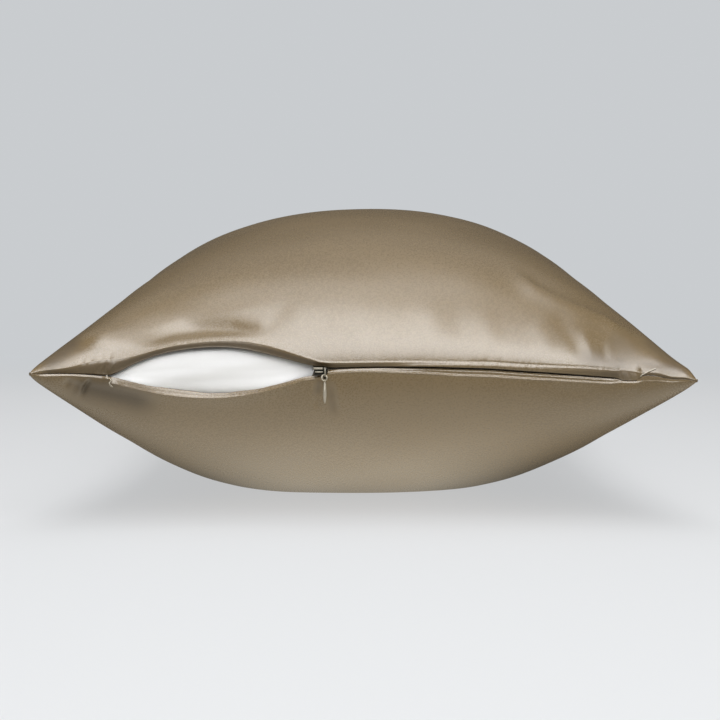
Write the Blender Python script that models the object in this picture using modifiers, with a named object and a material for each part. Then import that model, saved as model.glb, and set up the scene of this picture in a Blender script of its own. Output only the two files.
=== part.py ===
"""Satin pillowcase with an open concealed zip, filled with a plain white pillow.

Frame: metres, +Z up, origin at the middle of the flat patch it rests on.
+Y is the long way; the end with the zip faces -Y; +X is to the right of that end.
"""
import math

import bmesh
import bpy
from mathutils import Vector

# ---------------------------------------------------------------- sizes (m)
HALF_WIDTH = 0.2295        # middle to a corner tip, across the zip end
HALF_LENGTH = 0.3618       # middle to a corner tip, along the long way
SIDE_DRAW = 0.0332         # how far the middle of a long side is pulled in
SIDE_POWER = 2.72
END_DRAW = 0.0196          # how far the middle of an end is pulled in
END_POWER = 2.26

CROWN_RISE = 0.1201        # seam line to the top of the upper panel
CROWN_POWER_X = 2.219
CROWN_POWER_Y = 1.869
BELLY_DROP = 0.1263        # seam line to the unflattened underside
BELLY_POWER_X = 2.430
BELLY_POWER_Y = 1.834
CONTACT_BLEND = 0.0030     # how softly the underside turns into the flat patch

SEAM_HEIGHT = 0.1069       # seam line above the surface, at the corners
SEAM_BOW = 0.0050          # the seam line is higher half way along each side
SEAM_SKEW = -0.0018        # the right corners hang a little lower
SEAM_LEAN = 0.0025

CLOTH = 0.0012             # satin panel
EDGE_GAP = 0.00035         # half the slit between the two panels at the seam
CORNER_PACK = 0.00125      # extra half thickness where the layers meet at a tip
CORNER_POWER = 22
TAPE = 0.0010              # zip tape with its coil
TAPE_WIDTH = 0.0070
TAPE_SLIT = 0.00040        # half the slit between the closed tapes
TAPE_FROM, TAPE_TO = -0.1768, 0.1778
TAPE_GAP = 0.0012          # clearance between a tape and its panel
FILL_GAP = 0.0018          # clearance between the pillow and the panels
FILL_FRONT_GAP = 0.0011    # extra clearance behind the zip tapes
FILL_CORNER_GAP = 0.0020   # extra clearance in the corner tips
FILL_SPAN = 0.980          # the pillow stops short of the seams
FILL_FRONT = 0.9755        # and stands back from the open mouth

# Height of the seam line along the zip end: across (mm), height (mm)
ZIP_LINE = (
    (-229.5, 107.2),
    (-204.0, 107.9),
    (-174.7, 106.0),
    (-105.0, 109.8),
    (-34.0, 110.4),
    (36.0, 112.0),
    (88.0, 110.6),
    (129.0, 108.0),
    (163.0, 105.6),
    (192.0, 104.8),
    (229.5, 105.0),
)

# Edges of the two panels at the zip end: across (mm), upper panel's edge above
# the seam line (mm), lower panel's edge below it (mm)
PANEL_EDGE = (
    (-174.7, 0.0, 0.0),
    (-165.0, 4.6, 3.2),
    (-154.0, 10.3, 7.4),
    (-143.0, 14.6, 10.5),
    (-126.0, 18.2, 13.9),
    (-110.0, 19.3, 16.6),
    (-94.0, 18.9, 16.9),
    (-78.0, 16.9, 15.0),
    (-62.0, 13.2, 11.8),
    (-47.0, 7.6, 7.8),
    (-35.5, 2.6, 4.6),
    (-29.0, 2.4, 4.3),
    (-22.5, 2.3, 4.2),
    (-13.0, 0.0, 0.0),
)

# Free edges of the two zip tapes in the same way
TAPE_EDGE = (
    (-174.7, 0.0, 0.0),
    (-165.0, 3.2, 2.4),
    (-154.0, 7.4, 6.1),
    (-143.0, 10.9, 9.0),
    (-126.0, 13.8, 12.5),
    (-110.0, 14.9, 15.3),
    (-94.0, 14.6, 15.5),
    (-78.0, 12.5, 13.6),
    (-62.0, 9.3, 10.4),
    (-47.0, 5.2, 6.6),
    (-36.0, 1.6, 2.2),
    (-28.0, 0.0, 0.0),
)

# Grid lines across, as (to share of the quarter turn, number of cells)
COLUMNS = ((-0.5506, 6), (-0.0985, 11), (-0.0360, 4), (1.0, 12))
ROWS = 22
ROW_FIRST = 0.35           # the rows next to a seam are this share of the rest

# Slider and pull
SLIDER_MIDDLE = Vector((-0.0292, 0.0, 0.1097))
SLIDER_LENGTH = 0.0102
SLIDER_DEPTH = 0.0050
SLIDER_PLATE = 0.0012
SLIDER_HEIGHT = 0.0040
SLIDER_FRONT = -0.3466
BAIL_X = -0.0258
BAIL_WIRE = 0.0008
BAIL_REACH = 0.0038
BAIL_TOP, BAIL_BOTTOM = 0.1111, 0.1066
SPINE_WIDTH = 0.0013
RING_HOLE = 0.0028
RING_OUT = 0.0044
RING_THICK = 0.0008
PULL_LENGTH = 0.0165
PULL_WIDTH = 0.0026


# ------------------------------------------------------------- tables, shape
def along(table, x_mm, column):
    """Smooth curve through one column of a table; flat beyond both ends."""
    if x_mm <= table[0][0]:
        return table[0][column]
    if x_mm >= table[-1][0]:
        return table[-1][column]
    slopes = []
    for i in range(len(table)):
        lo, hi = max(i - 1, 0), min(i + 1, len(table) - 1)
        before = (table[i][column] - table[lo][column]) / ((table[i][0] - table[lo][0]) or 1.0)
        after = (table[hi][column] - table[i][column]) / ((table[hi][0] - table[i][0]) or 1.0)
        if i in (0, len(table) - 1):
            slopes.append(after if i == 0 else before)
        elif before * after <= 0.0:
            slopes.append(0.0)
        else:
            slopes.append(2.0 * before * after / (before + after))
    for i in range(len(table) - 1):
        x0, x1 = table[i][0], table[i + 1][0]
        if x_mm <= x1:
            w = x1 - x0
            u = (x_mm - x0) / w
            v0, v1 = table[i][column], table[i + 1][column]
            return (v0 * (1 + 2 * u) * (1 - u) ** 2 + slopes[i] * w * u * (1 - u) ** 2
                    + v1 * u * u * (3 - 2 * u) - slopes[i + 1] * w * u * u * (1 - u))


def seam_height(X, Y):
    """Height of the seam plane; near the zip end it follows the zip line."""
    plain = (SEAM_HEIGHT + SEAM_BOW * (1 - X * X)
             + SEAM_SKEW * math.copysign(abs(X) ** 5, X) + SEAM_LEAN * X * (1 - X ** 4))
    near = math.exp(-((1.0 + Y) * HALF_LENGTH / 0.040) ** 2)
    return plain + near * (along(ZIP_LINE, 1000 * X * HALF_WIDTH, 1) / 1000 - plain)


def bulge(X, Y, side):
    """Height of a panel above (side 1) or below (side -1) the seam plane."""
    rise, px, py = ((CROWN_RISE, CROWN_POWER_X, CROWN_POWER_Y) if side > 0
                    else (BELLY_DROP, BELLY_POWER_X, BELLY_POWER_Y))
    across = max(0.0, 1 - abs(X) ** px) ** (1 / px)
    lengthwise = max(0.0, 1 - abs(Y) ** py) ** (1 / py)
    pack = EDGE_GAP + CORNER_PACK * abs(X * Y) ** CORNER_POWER
    return rise * across * lengthwise + pack


def flat_patch(z):
    """The underside ends in a flat patch at height 0."""
    h = min(1.0, max(0.0, 0.5 + 0.5 * z / CONTACT_BLEND))
    return z * h + CONTACT_BLEND * h * (1 - h)


def outside(X, Y, side):
    """Point of the outer surface for shares X, Y of the half width and length."""
    x = X * (HALF_WIDTH - SIDE_DRAW * (1 - abs(Y) ** SIDE_POWER))
    y = Y * (HALF_LENGTH - END_DRAW * (1 - abs(X) ** END_POWER))
    return Vector((x, y, flat_patch(seam_height(X, Y) + side * bulge(X, Y, side))))


def inward(X, Y, side, depth):
    """Point of the same surface moved towards the inside by depth."""
    e = 2e-4
    sx = -1 if X > 0 else 1
    sy = -1 if Y > 0 else 1
    p = outside(X, Y, side)
    du = (outside(X + sx * e, Y, side) - p) * sx
    dv = (outside(X, Y + sy * e, side) - p) * sy
    n = du.cross(dv).normalized() * side
    return p - n * depth


def share_at(X, rise, side):
    """Share of the half length where the panel is `rise` off the seam plane."""
    top, px, py = ((CROWN_RISE, CROWN_POWER_X, CROWN_POWER_Y) if side > 0
                   else (BELLY_DROP, BELLY_POWER_X, BELLY_POWER_Y))
    full = top * max(1e-9, 1 - abs(X) ** px) ** (1 / px)
    r = min(0.9, max(0.0, rise) / full)
    return -((1 - r ** py) ** (1 / py))


def columns():
    values, start = [-1.0], -1.0
    for stop, cells in COLUMNS:
        values += [start + (stop - start) * (i + 1) / cells for i in range(cells)]
        start = stop
    return values


def rows():
    weights = [ROW_FIRST] + [1.0] * (ROWS - 2) + [ROW_FIRST]
    total, value, out = sum(weights), -1.0, [-1.0]
    for w in weights:
        value += 2.0 * w / total
        out.append(value)
    out[-1] = 1.0
    return out


# ------------------------------------------------------------- making pieces
def material(name, colour, roughness, metallic):
    m = bpy.data.materials.new(name)
    m.use_nodes = True
    b = m.node_tree.nodes["Principled BSDF"]
    b.inputs["Base Color"].default_value = (*colour, 1.0)
    b.inputs["Roughness"].default_value = roughness
    b.inputs["Metallic"].default_value = metallic
    return m


def add(name, mesh, mat, collection, smooth=True):
    ob = bpy.data.objects.new(name, mesh)
    collection.objects.link(ob)
    mesh.materials.append(mat)
    if smooth:
        mesh.shade_smooth()
    return ob


def sheet_mesh(name, nx, ny, side, place):
    """A flat grid primitive whose points are moved by place(column, row)."""
    bm = bmesh.new()
    bmesh.ops.create_grid(bm, x_segments=nx, y_segments=ny, size=1.0)
    if side < 0:
        bmesh.ops.reverse_faces(bm, faces=bm.faces)
    for v in bm.verts:
        i = round((v.co.x + 1) * nx / 2)
        j = round((v.co.y + 1) * ny / 2)
        v.co = place(i, j)
    mesh = bpy.data.meshes.new(name)
    bm.to_mesh(mesh)
    bm.free()
    return mesh


def thicken(ob, thickness):
    mod = ob.modifiers.new("thickness", "SOLIDIFY")
    mod.thickness = thickness
    mod.offset = -1.0
    mod.use_even_offset = False
    return ob


def quarter(share):
    return math.sin(math.pi / 2 * share)


def panel(name, side, mat, collection):
    s, t = columns(), rows()

    def place(i, j):
        X = quarter(s[i])
        rise = along(PANEL_EDGE, 1000 * X * HALF_WIDTH, 1 if side > 0 else 2) / 1000
        first = 2 / math.pi * math.asin(share_at(X, rise, side))
        return outside(X, quarter(first + (1 - first) * (t[j] + 1) / 2), side)

    mesh = sheet_mesh(name, len(s) - 1, len(t) - 1, side, place)
    return thicken(add(name, mesh, mat, collection), CLOTH)


def tape(name, side, mat, collection, cells=56):
    def place(i, j):
        x = TAPE_FROM + (TAPE_TO - TAPE_FROM) * i / cells
        X = x / HALF_WIDTH
        rise = along(TAPE_EDGE, 1000 * x, 1 if side > 0 else 2) / 1000 + TAPE_SLIT - EDGE_GAP
        rise += 0.0 if j == 0 else TAPE_WIDTH
        p = inward(X, share_at(X, max(rise, 0.0), side), side, CLOTH + TAPE_GAP)
        if j == 0 and rise < 0.0001:
            p.z = seam_height(X, -1.0) + side * TAPE_SLIT
        return p

    return thicken(add(name, sheet_mesh(name, cells, 1, side, place), mat, collection), TAPE)


def pillow(name, mat, collection):
    """Filled pillow: a grid drawn out to a slab, its two faces crowned."""
    s = [v for v in columns() if abs(quarter(v)) < FILL_SPAN - 0.004]
    s = [-2 / math.pi * math.asin(FILL_SPAN)] + s + [2 / math.pi * math.asin(FILL_SPAN)]
    t_all = rows()
    t0, t1 = -2 / math.pi * math.asin(FILL_FRONT), 2 / math.pi * math.asin(FILL_SPAN)
    t = [t0] + [v for v in t_all if t0 + 0.03 < v < t1 - 0.02] + [t1]
    nx, ny = len(s) - 1, len(t) - 1

    bm = bmesh.new()
    bmesh.ops.create_grid(bm, x_segments=nx, y_segments=ny, size=1.0)
    lower = {v: v.co.copy() for v in bm.verts}
    made = bmesh.ops.extrude_face_region(bm, geom=bm.faces[:])
    upper = [g for g in made["geom"] if isinstance(g, bmesh.types.BMVert)]
    sides = {v: (1, v.co.copy()) for v in upper}
    sides.update({v: (-1, co) for v, co in lower.items()})
    for v, (side, co) in sides.items():
        X = quarter(s[round((co.x + 1) * nx / 2)])
        Y = quarter(t[round((co.y + 1) * ny / 2)])
        near = min(1.0, max(0.0, (-Y - 0.86) / 0.07))
        v.co = inward(X, Y, side, CLOTH + FILL_GAP + FILL_FRONT_GAP * near
                      + FILL_CORNER_GAP * abs(X * Y) ** 6)
    bmesh.ops.recalc_face_normals(bm, faces=bm.faces)
    mesh = bpy.data.meshes.new(name)
    bm.to_mesh(mesh)
    bm.free()
    return add(name, mesh, mat, collection)


def box(name, low, high, collection):
    bm = bmesh.new()
    bmesh.ops.create_cube(bm, size=1.0)
    for v in bm.verts:
        v.co = Vector((low[k] if v.co[k] < 0 else high[k] for k in range(3)))
    mesh = bpy.data.meshes.new(name)
    bm.to_mesh(mesh)
    bm.free()
    ob = bpy.data.objects.new(name, mesh)
    collection.objects.link(ob)
    return ob


def as_cutter(ob):
    ob.hide_render = True
    ob.display_type = "WIRE"
    return ob


def wire(name, points, radius, collection, cyclic=False):
    """A round wire along a line of points, turned into a closed mesh."""
    curve = bpy.data.curves.new(name, "CURVE")
    curve.dimensions = "3D"
    curve.bevel_depth = radius
    curve.bevel_resolution = 2
    curve.use_fill_caps = True
    spline = curve.splines.new("POLY")
    spline.points.add(len(points) - 1)
    for point, co in zip(spline.points, points):
        point.co = (*co, 1.0)
    spline.use_cyclic_u = cyclic
    source = bpy.data.objects.new(name + "_path", curve)
    collection.objects.link(source)
    depsgraph = bpy.context.evaluated_depsgraph_get()
    mesh = bpy.data.meshes.new_from_object(source.evaluated_get(depsgraph))
    mesh.name = name
    bm = bmesh.new()
    bm.from_mesh(mesh)
    bmesh.ops.remove_doubles(bm, verts=bm.verts, dist=1e-6)
    bmesh.ops.recalc_face_normals(bm, faces=bm.faces)
    bm.to_mesh(mesh)
    bm.free()
    ob = bpy.data.objects.new(name, mesh)
    ob.matrix_world = source.matrix_world
    bpy.data.objects.remove(source, do_unlink=True)
    collection.objects.link(ob)
    return ob


def join_to(ob, other):
    mod = ob.modifiers.new("join_" + other.name, "BOOLEAN")
    mod.operation = "UNION"
    mod.object = other
    mod.solver = "EXACT"


def slider(name, mat, collection, tools):
    """Two plates one above the other, a spine in front and a wire bail on it."""
    c, half = SLIDER_MIDDLE, SLIDER_LENGTH / 2
    back = SLIDER_FRONT + SLIDER_DEPTH
    top, bottom = c.z + SLIDER_HEIGHT / 2, c.z - SLIDER_HEIGHT / 2
    ob = box(name, (c.x - half, SLIDER_FRONT, top - SLIDER_PLATE), (c.x + half, back, top), collection)
    ob.data.materials.append(mat)
    lower = box(name + "_lower", (c.x - half, SLIDER_FRONT, bottom),
                (c.x + half, back, bottom + SLIDER_PLATE), tools)
    post = box(name + "_post", (c.x + half - 0.0042, SLIDER_FRONT + 0.0017, bottom + 0.0003),
               (c.x + half - 0.0012, back - 0.0007, top - 0.0003), tools)
    spine = box(name + "_spine", (BAIL_X - SPINE_WIDTH / 2, SLIDER_FRONT - 0.0004, BAIL_BOTTOM - 0.0007),
                (BAIL_X + SPINE_WIDTH / 2, SLIDER_FRONT + 0.0012, BAIL_TOP + 0.0003), tools)
    middle, tall = (BAIL_TOP + BAIL_BOTTOM) / 2, (BAIL_TOP - BAIL_BOTTOM) / 2
    arc = []
    for k in range(13):
        turn = math.pi * k / 12
        reach = BAIL_REACH * math.sin(turn) ** 0.45
        arc.append((BAIL_X, SLIDER_FRONT - reach, middle + tall * math.cos(turn)))
    arc[0] = (BAIL_X, SLIDER_FRONT + 0.0006, BAIL_TOP)
    arc[-1] = (BAIL_X, SLIDER_FRONT + 0.0006, BAIL_BOTTOM)
    bail = wire(name + "_bail", arc, BAIL_WIRE / 2, tools)
    for piece in (lower, post, spine, bail):
        join_to(ob, as_cutter(piece))
    return ob


def pull(name, mat, collection, tools):
    """A flat ring hung on the bail, with a slim drop-shaped tongue under it."""
    y = SLIDER_FRONT - 0.0019
    hole = RING_HOLE / 2
    z = BAIL_BOTTOM + BAIL_WIRE / 2 + 0.0004 - hole
    ring_radius = (RING_OUT + RING_HOLE) / 4
    curve_points = [(BAIL_X + ring_radius * math.cos(a), y, z + ring_radius * math.sin(a))
                    for a in (2 * math.pi * k / 20 for k in range(20))]
    ring = wire(name, curve_points, (RING_OUT - RING_HOLE) / 4, collection, cyclic=True)
    ring.data.materials.append(mat)

    bm = bmesh.new()
    bmesh.ops.create_uvsphere(bm, u_segments=12, v_segments=12, radius=1.0)
    for v in bm.verts:
        down = (1 - v.co.z) / 2
        wide = PULL_WIDTH / 2 * (0.42 + 0.78 * down ** 0.7 - 0.25 * down ** 3)
        v.co = Vector((BAIL_X + v.co.x * wide, y + v.co.y * RING_THICK / 2,
                       z - (RING_OUT + RING_HOLE) / 4 + 0.0002 - down * PULL_LENGTH))
    mesh = bpy.data.meshes.new(name + "_tongue")
    bm.to_mesh(mesh)
    bm.free()
    tongue = bpy.data.objects.new(name + "_tongue", mesh)
    tools.objects.link(tongue)
    join_to(ring, as_cutter(tongue))
    return ring


def main():
    for ob in list(bpy.data.objects):
        bpy.data.objects.remove(ob, do_unlink=True)
    scene = bpy.context.scene
    parts = bpy.data.collections.new("pillowcase")
    tools = bpy.data.collections.new("joining_shapes")
    scene.collection.children.link(parts)
    scene.collection.children.link(tools)

    satin_top = material("satin_upper", (0.24, 0.20, 0.14), 0.42, 0.0)
    satin_low = material("satin_lower", (0.22, 0.18, 0.125), 0.42, 0.0)
    ticking = material("pillow_white", (0.86, 0.87, 0.88), 0.85, 0.0)
    tape_a = material("tape_upper", (0.26, 0.22, 0.16), 0.7, 0.0)
    tape_b = material("tape_lower", (0.30, 0.26, 0.19), 0.7, 0.0)
    metal_a = material("slider_enamel", (0.50, 0.45, 0.36), 0.35, 0.6)
    metal_b = material("pull_enamel", (0.52, 0.47, 0.38), 0.35, 0.6)

    pillow("insert_pillow", ticking, parts)
    panel("case_top", 1, satin_top, parts)
    panel("case_bottom", -1, satin_low, parts)
    tape("zip_tape_upper", 1, tape_a, parts)
    tape("zip_tape_lower", -1, tape_b, parts)
    slider("zip_slider", metal_a, parts, tools)
    pull("zip_pull", metal_b, parts, tools)


main()
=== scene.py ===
"""Satin pillowcase drawn over a white pillow, its concealed zip partly open.

Frame as packed: metres, +Z up, origin in the middle of the flat patch it rests on,
the zip end faces -Y. Everything here is measured in that frame.
"""
import math

import bmesh
import bpy
import numpy as np
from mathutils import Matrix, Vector


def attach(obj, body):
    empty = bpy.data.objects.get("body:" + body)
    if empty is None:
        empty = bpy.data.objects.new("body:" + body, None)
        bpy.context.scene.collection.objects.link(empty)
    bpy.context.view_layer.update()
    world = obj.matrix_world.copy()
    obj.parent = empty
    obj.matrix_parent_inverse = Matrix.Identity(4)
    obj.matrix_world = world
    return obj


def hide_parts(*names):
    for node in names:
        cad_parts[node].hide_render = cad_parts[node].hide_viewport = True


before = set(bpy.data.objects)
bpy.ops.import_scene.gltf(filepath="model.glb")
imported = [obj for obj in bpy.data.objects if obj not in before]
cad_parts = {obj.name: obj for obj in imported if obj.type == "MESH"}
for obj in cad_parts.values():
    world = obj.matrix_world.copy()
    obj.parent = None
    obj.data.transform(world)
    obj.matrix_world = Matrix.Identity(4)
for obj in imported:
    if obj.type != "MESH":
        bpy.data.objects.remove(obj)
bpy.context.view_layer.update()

# ------------------------------------------------------------------ sizes (m)
HALF_WIDTH = 0.2295
HALF_LENGTH = 0.3618
SIDE_DRAW, SIDE_POWER = 0.0332, 2.72
END_DRAW, END_POWER = 0.0196, 2.26
CROWN = (0.1201, 2.219, 1.869)       # rise, power across, power lengthwise
BELLY = (0.1263, 2.430, 1.834)
CONTACT_BLEND = 0.0030
SEAM_HEIGHT, SEAM_BOW, SEAM_SKEW, SEAM_LEAN = 0.1069, 0.0050, -0.0018, 0.0025
CLOTH = 0.00045

# Lines of the zip end: across (mm), height of the zip line (mm), then the upper
# panel's folded edge and crest above it and the lower panel's edge and crest below it
ZIP_END = (
    (-229.5, 108.1, 0.1, 0.4, 0.1, 0.5),
    (-219, 108, 0.15, 2.3, 0.15, 1.6),
    (-206, 107.9, 0.2, 3.9, 0.15, 1.3),
    (-199, 107.8, 0.2, 5.4, 0.15, 1.3),
    (-192, 107.4, 0.2, 7.8, 0.15, 1.4),
    (-185, 106.9, 0.2, 9.7, 0.15, 1.4),
    (-179, 106.3, 0.2, 10.9, 0.2, 1.5),
    (-176.0, 106.1, 0.22, 11.2, 0.20, 1.5),
    (-174.2, 106.05, 0.35, 11.4, 0.28, 1.9),
    (-172.8, 106.05, 0.75, 11.5, 0.42, 4.5),
    (-171.6, 106.1, 1.2, 11.55, 0.72, 5.2),
    (-170, 106.1, 1.8, 11.6, 1.02, 5.41),
    (-165, 106.4, 3.9, 11.9, 2.76, 7.3),
    (-160, 106.7, 6.3, 12.6, 4.47, 8.97),
    (-152, 107.3, 9.2, 14.2, 6.99, 11.55),
    (-144, 107.9, 11.6, 16.1, 9.16, 13.97),
    (-132, 108.7, 13.8, 18.2, 11.78, 16.63),
    (-118, 109.4, 15.1, 19.5, 14.31, 18.66),
    (-105, 109.8, 15.6, 20.3, 16.11, 19.48),
    (-95, 109.9, 15.3, 20.5, 15.97, 19.19),
    (-84, 110, 14.1, 19.9, 14.71, 18.15),
    (-70, 110.1, 11.3, 17.5, 12.75, 15.66),
    (-56, 110.2, 7.8, 13.6, 9.6, 12.15),
    (-46, 110.3, 5.1, 10.3, 6.85, 9.25),
    (-39, 110.35, 3.3, 8, 5.09, 7.4),
    (-34, 110.4, 2.3, 6.4, 4.6, 6.7),
    (-29.5, 110.5, 2.1, 4.9, 4.1, 5.7),
    (-24, 110.7, 1.3, 4.2, 1.5, 3.6),
    (-19, 110.9, 0.5, 3.8, 0.9, 3.1),
    (-9, 111.3, 0.35, 3.5, 0.6, 2.9),
    (5, 111.7, 0.3, 3.3, 0.6, 3.1),
    (26, 112, 0.2, 3.2, 0.8, 4),
    (47, 111.9, 0.2, 3.2, 0.8, 4.8),
    (67, 111.3, 0.2, 3.5, 0.75, 5.5),
    (88, 110.6, 0.25, 3.8, 0.75, 5.4),
    (108, 109.3, 0.2, 3.9, 0.8, 5.3),
    (129, 108, 0.2, 4.2, 0.8, 5.1),
    (149, 106.6, 0.15, 4.9, 0.8, 4.7),
    (163, 105.6, 0.1, 5.2, 0.8, 4.4),
    (171, 105, 0.1, 5.2, 0.75, 4),
    (174.3, 104.5, 0.05, 5.4, 0.35, 3),
    (177, 103.4, 0.05, 6.3, 0.05, 1.7),
    (180, 102.8, 0.05, 6.6, 0.05, 1.3),
    (184, 102.7, 0.05, 6.2, 0.05, 1.2),
    (187.5, 102.9, 0.05, 5.6, 0.05, 1.2),
    (189.5, 104.5, 0.05, 4, 0.05, 2.5),
    (191.5, 106.4, 0.1, 2.1, 0.1, 3.8),
    (195, 106.9, 0.15, 1.9, 0.15, 3.9),
    (201.8, 106.4, 0.15, 2.2, 0.15, 3.5),
    (206.3, 105.4, 0.15, 2, 0.15, 2.8),
    (212, 104.5, 0.15, 1.6, 0.15, 2.2),
    (220.3, 104.6, 0.15, 1.2, 0.15, 1.8),
    (224.4, 103.9, 0.12, 0.9, 0.12, 1.2),
    (229.5, 103.4, 0.1, 0.4, 0.1, 0.5),
)

# How far the two folded edges stand back from the crests: across (mm), upper, lower
EDGE_DEPTH = (
    (-229.5, 0.3, 0.3),
    (-215.0, 1.6, 0.9),
    (-195.0, 3.0, 1.0),
    (-180.0, 4.2, 1.2),
    (-176.5, 4.3, 1.2),
    (-174.2, 4.3, 1.6),
    (-172.8, 4.2, 3.2),
    (-168.0, 3.9, 3.5),
    (-160.0, 3.4, 3.8),
    (-150.0, 3.1, 4.7),
    (-138.0, 3.0, 5.2),
    (-120.0, 2.8, 5.4),
    (-105.0, 2.8, 4.6),
    (-90.0, 2.8, 3.9),
    (-70.0, 2.8, 3.2),
    (-50.0, 2.7, 2.3),
    (-33.0, 2.6, 2.4),
    (-24.0, 2.2, 2.6),
    (-18.0, 2.0, 2.0),
    (4.0, 1.3, 2.0),
    (20.0, 0.5, 2.0),
    (38.0, -0.4, 2.2),
    (56.0, -0.3, 2.3),
    (76.0, 0.2, 2.4),
    (90.0, 0.4, 2.5),
    (130.0, 0.9, 2.5),
    (160.0, 1.7, 2.3),
    (172.0, 1.9, 1.7),
    (178.0, 1.2, 0.8),
    (186.0, 1.0, 0.7),
    (192.0, 0.9, 0.8),
    (205.0, 0.9, 0.8),
    (229.5, 0.3, 0.3),
)

# How far the lower lip's crest stands proud: across (mm), mm
LIP_PROUD = ((-229.5, 0.0), (-180.0, 0.0), (-175.0, 1.3), (-166.0, 2.3), (-140.0, 2.5), (-105.0, 3.0), (-70.0, 2.2), (-38.0, 1.3),
             (-26.0, 0.6), (-12.0, 0.3), (170.0, 0.3), (182.0, 0.0), (229.5, 0.0))


# ---------------------------------------------------------- smooth table lines
def hermite(table, column):
    """One column of a table as a dense smooth line; returns a function of mm across."""
    xs = np.array([r[0] for r in table], float)
    vs = np.array([r[column] for r in table], float)
    h = np.diff(xs)
    d = np.diff(vs) / h
    m = np.zeros_like(vs)
    m[0], m[-1] = d[0], d[-1]
    for i in range(1, len(vs) - 1):
        m[i] = 0.0 if d[i - 1] * d[i] <= 0 else 2 * d[i - 1] * d[i] / (d[i - 1] + d[i])
    grid = np.linspace(xs[0], xs[-1], 4601)
    k = np.clip(np.searchsorted(xs, grid, side="right") - 1, 0, len(h) - 1)
    u = (grid - xs[k]) / h[k]
    out = (vs[k] * (1 + 2 * u) * (1 - u) ** 2 + m[k] * h[k] * u * (1 - u) ** 2
           + vs[k + 1] * u * u * (3 - 2 * u) - m[k + 1] * h[k] * u * u * (1 - u))
    return lambda x: np.interp(x, grid, out)


zip_height = hermite(ZIP_END, 1)


def softened(line, reach):
    grid = np.linspace(-229.5, 229.5, 919)
    k = np.exp(-(np.arange(-60, 61) * 0.5 / reach) ** 2 / 2)
    v = np.convolve(np.pad(line(grid), 60, mode="edge"), k / k.sum(), mode="valid")
    return lambda x: np.interp(x, grid, v)


zip_drift = softened(zip_height, 11.0)
edge_rise = {1: hermite(ZIP_END, 2), -1: hermite(ZIP_END, 4)}
crest_rise = {1: hermite(ZIP_END, 3), -1: hermite(ZIP_END, 5)}
edge_depth = {1: hermite(EDGE_DEPTH, 1), -1: hermite(EDGE_DEPTH, 2)}
lip_proud = hermite(LIP_PROUD, 1)


def smooth(lo, hi, v):
    u = np.clip((v - lo) / (hi - lo), 0.0, 1.0)
    return u * u * (3 - 2 * u)


def ripple(v, wave, seed, octaves=3):
    """Seeded uneven waves along a line, about -1 to 1; wave is the main length."""
    rng = np.random.default_rng(seed)
    out = np.zeros_like(np.asarray(v, float))
    total = 0.0
    for k in range(octaves):
        for _ in range(3):
            f = (1.7 ** k) * rng.uniform(0.7, 1.35) / wave
            w = 0.75 ** k
            out = out + w * np.sin(2 * math.pi * f * v + rng.uniform(0, 2 * math.pi))
            total += w * w / 2
    return out / math.sqrt(total) / 1.6


# -------------------------------------------------------------- base surface
def seam_plane(X, Y):
    plain = (SEAM_HEIGHT + SEAM_BOW * (1 - X * X)
             + SEAM_SKEW * np.sign(X) * np.abs(X) ** 5 + SEAM_LEAN * X * (1 - X ** 4))
    near = np.exp(-((1.0 + Y) * HALF_LENGTH / 0.040) ** 2)
    close = np.exp(-((1.0 + Y) * HALF_LENGTH / 0.0022) ** 2)
    mm = 1000 * X * HALF_WIDTH
    drift = zip_drift(mm)
    return plain + near * (drift / 1000 - plain) + close * (zip_height(mm) - drift) / 1000


def bulge(X, Y, side):
    rise, px, py = CROWN if side > 0 else BELLY
    return (rise * np.maximum(0, 1 - np.abs(X) ** px) ** (1 / px)
            * np.maximum(0, 1 - np.abs(Y) ** py) ** (1 / py))


def flatten(z, blend=CONTACT_BLEND):
    h = np.clip(0.5 + 0.5 * z / blend, 0, 1)
    return z * h + blend * h * (1 - h)


def base(X, Y, side, shrink=0.0, lower=1.0):
    a, b = HALF_WIDTH * (1 - shrink), HALF_LENGTH * (1 - shrink)
    x = X * (a - SIDE_DRAW * (1 - np.abs(Y) ** SIDE_POWER))
    y = Y * (b - END_DRAW * (1 - np.abs(X) ** END_POWER))
    z = seam_plane(X, Y) + side * lower * bulge(X, Y, side)
    return np.stack([x, y, z], -1)


def base_normal(X, Y, side):
    e = 2e-4
    sx, sy = np.where(X > 0, -1.0, 1.0), np.where(Y > 0, -1.0, 1.0)
    p = base(X, Y, side)
    du = (base(X + sx * e, Y, side) - p) * sx[..., None]
    dv = (base(X, Y + sy * e, side) - p) * sy[..., None]
    n = np.cross(du, dv) * side
    return n / np.maximum(np.linalg.norm(n, axis=-1, keepdims=True), 1e-12)


def share_at(X, rise, side):
    top, px, py = CROWN if side > 0 else BELLY
    full = top * np.maximum(1e-9, 1 - np.abs(X) ** px) ** (1 / px)
    r = np.clip(rise / full, 0, 0.6)
    return -((1 - r ** py) ** (1 / py))


# --------------------------------------------------------------- camera setup
CAM_FOCAL_PX, CAM_HORIZON = 1868.0, 272.0
CAM_AT = Vector((-0.0018, -(HALF_LENGTH + 1.2702), 0.1775))


def seen_at(p):
    """Where points appear in the 720 pixel frame, for placing creases."""
    d = p[..., 1] - CAM_AT.y
    return np.stack([360 + CAM_FOCAL_PX * (p[..., 0] - CAM_AT.x) / d,
                     CAM_HORIZON + CAM_FOCAL_PX * (CAM_AT.z - p[..., 2]) / d], -1)



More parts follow.
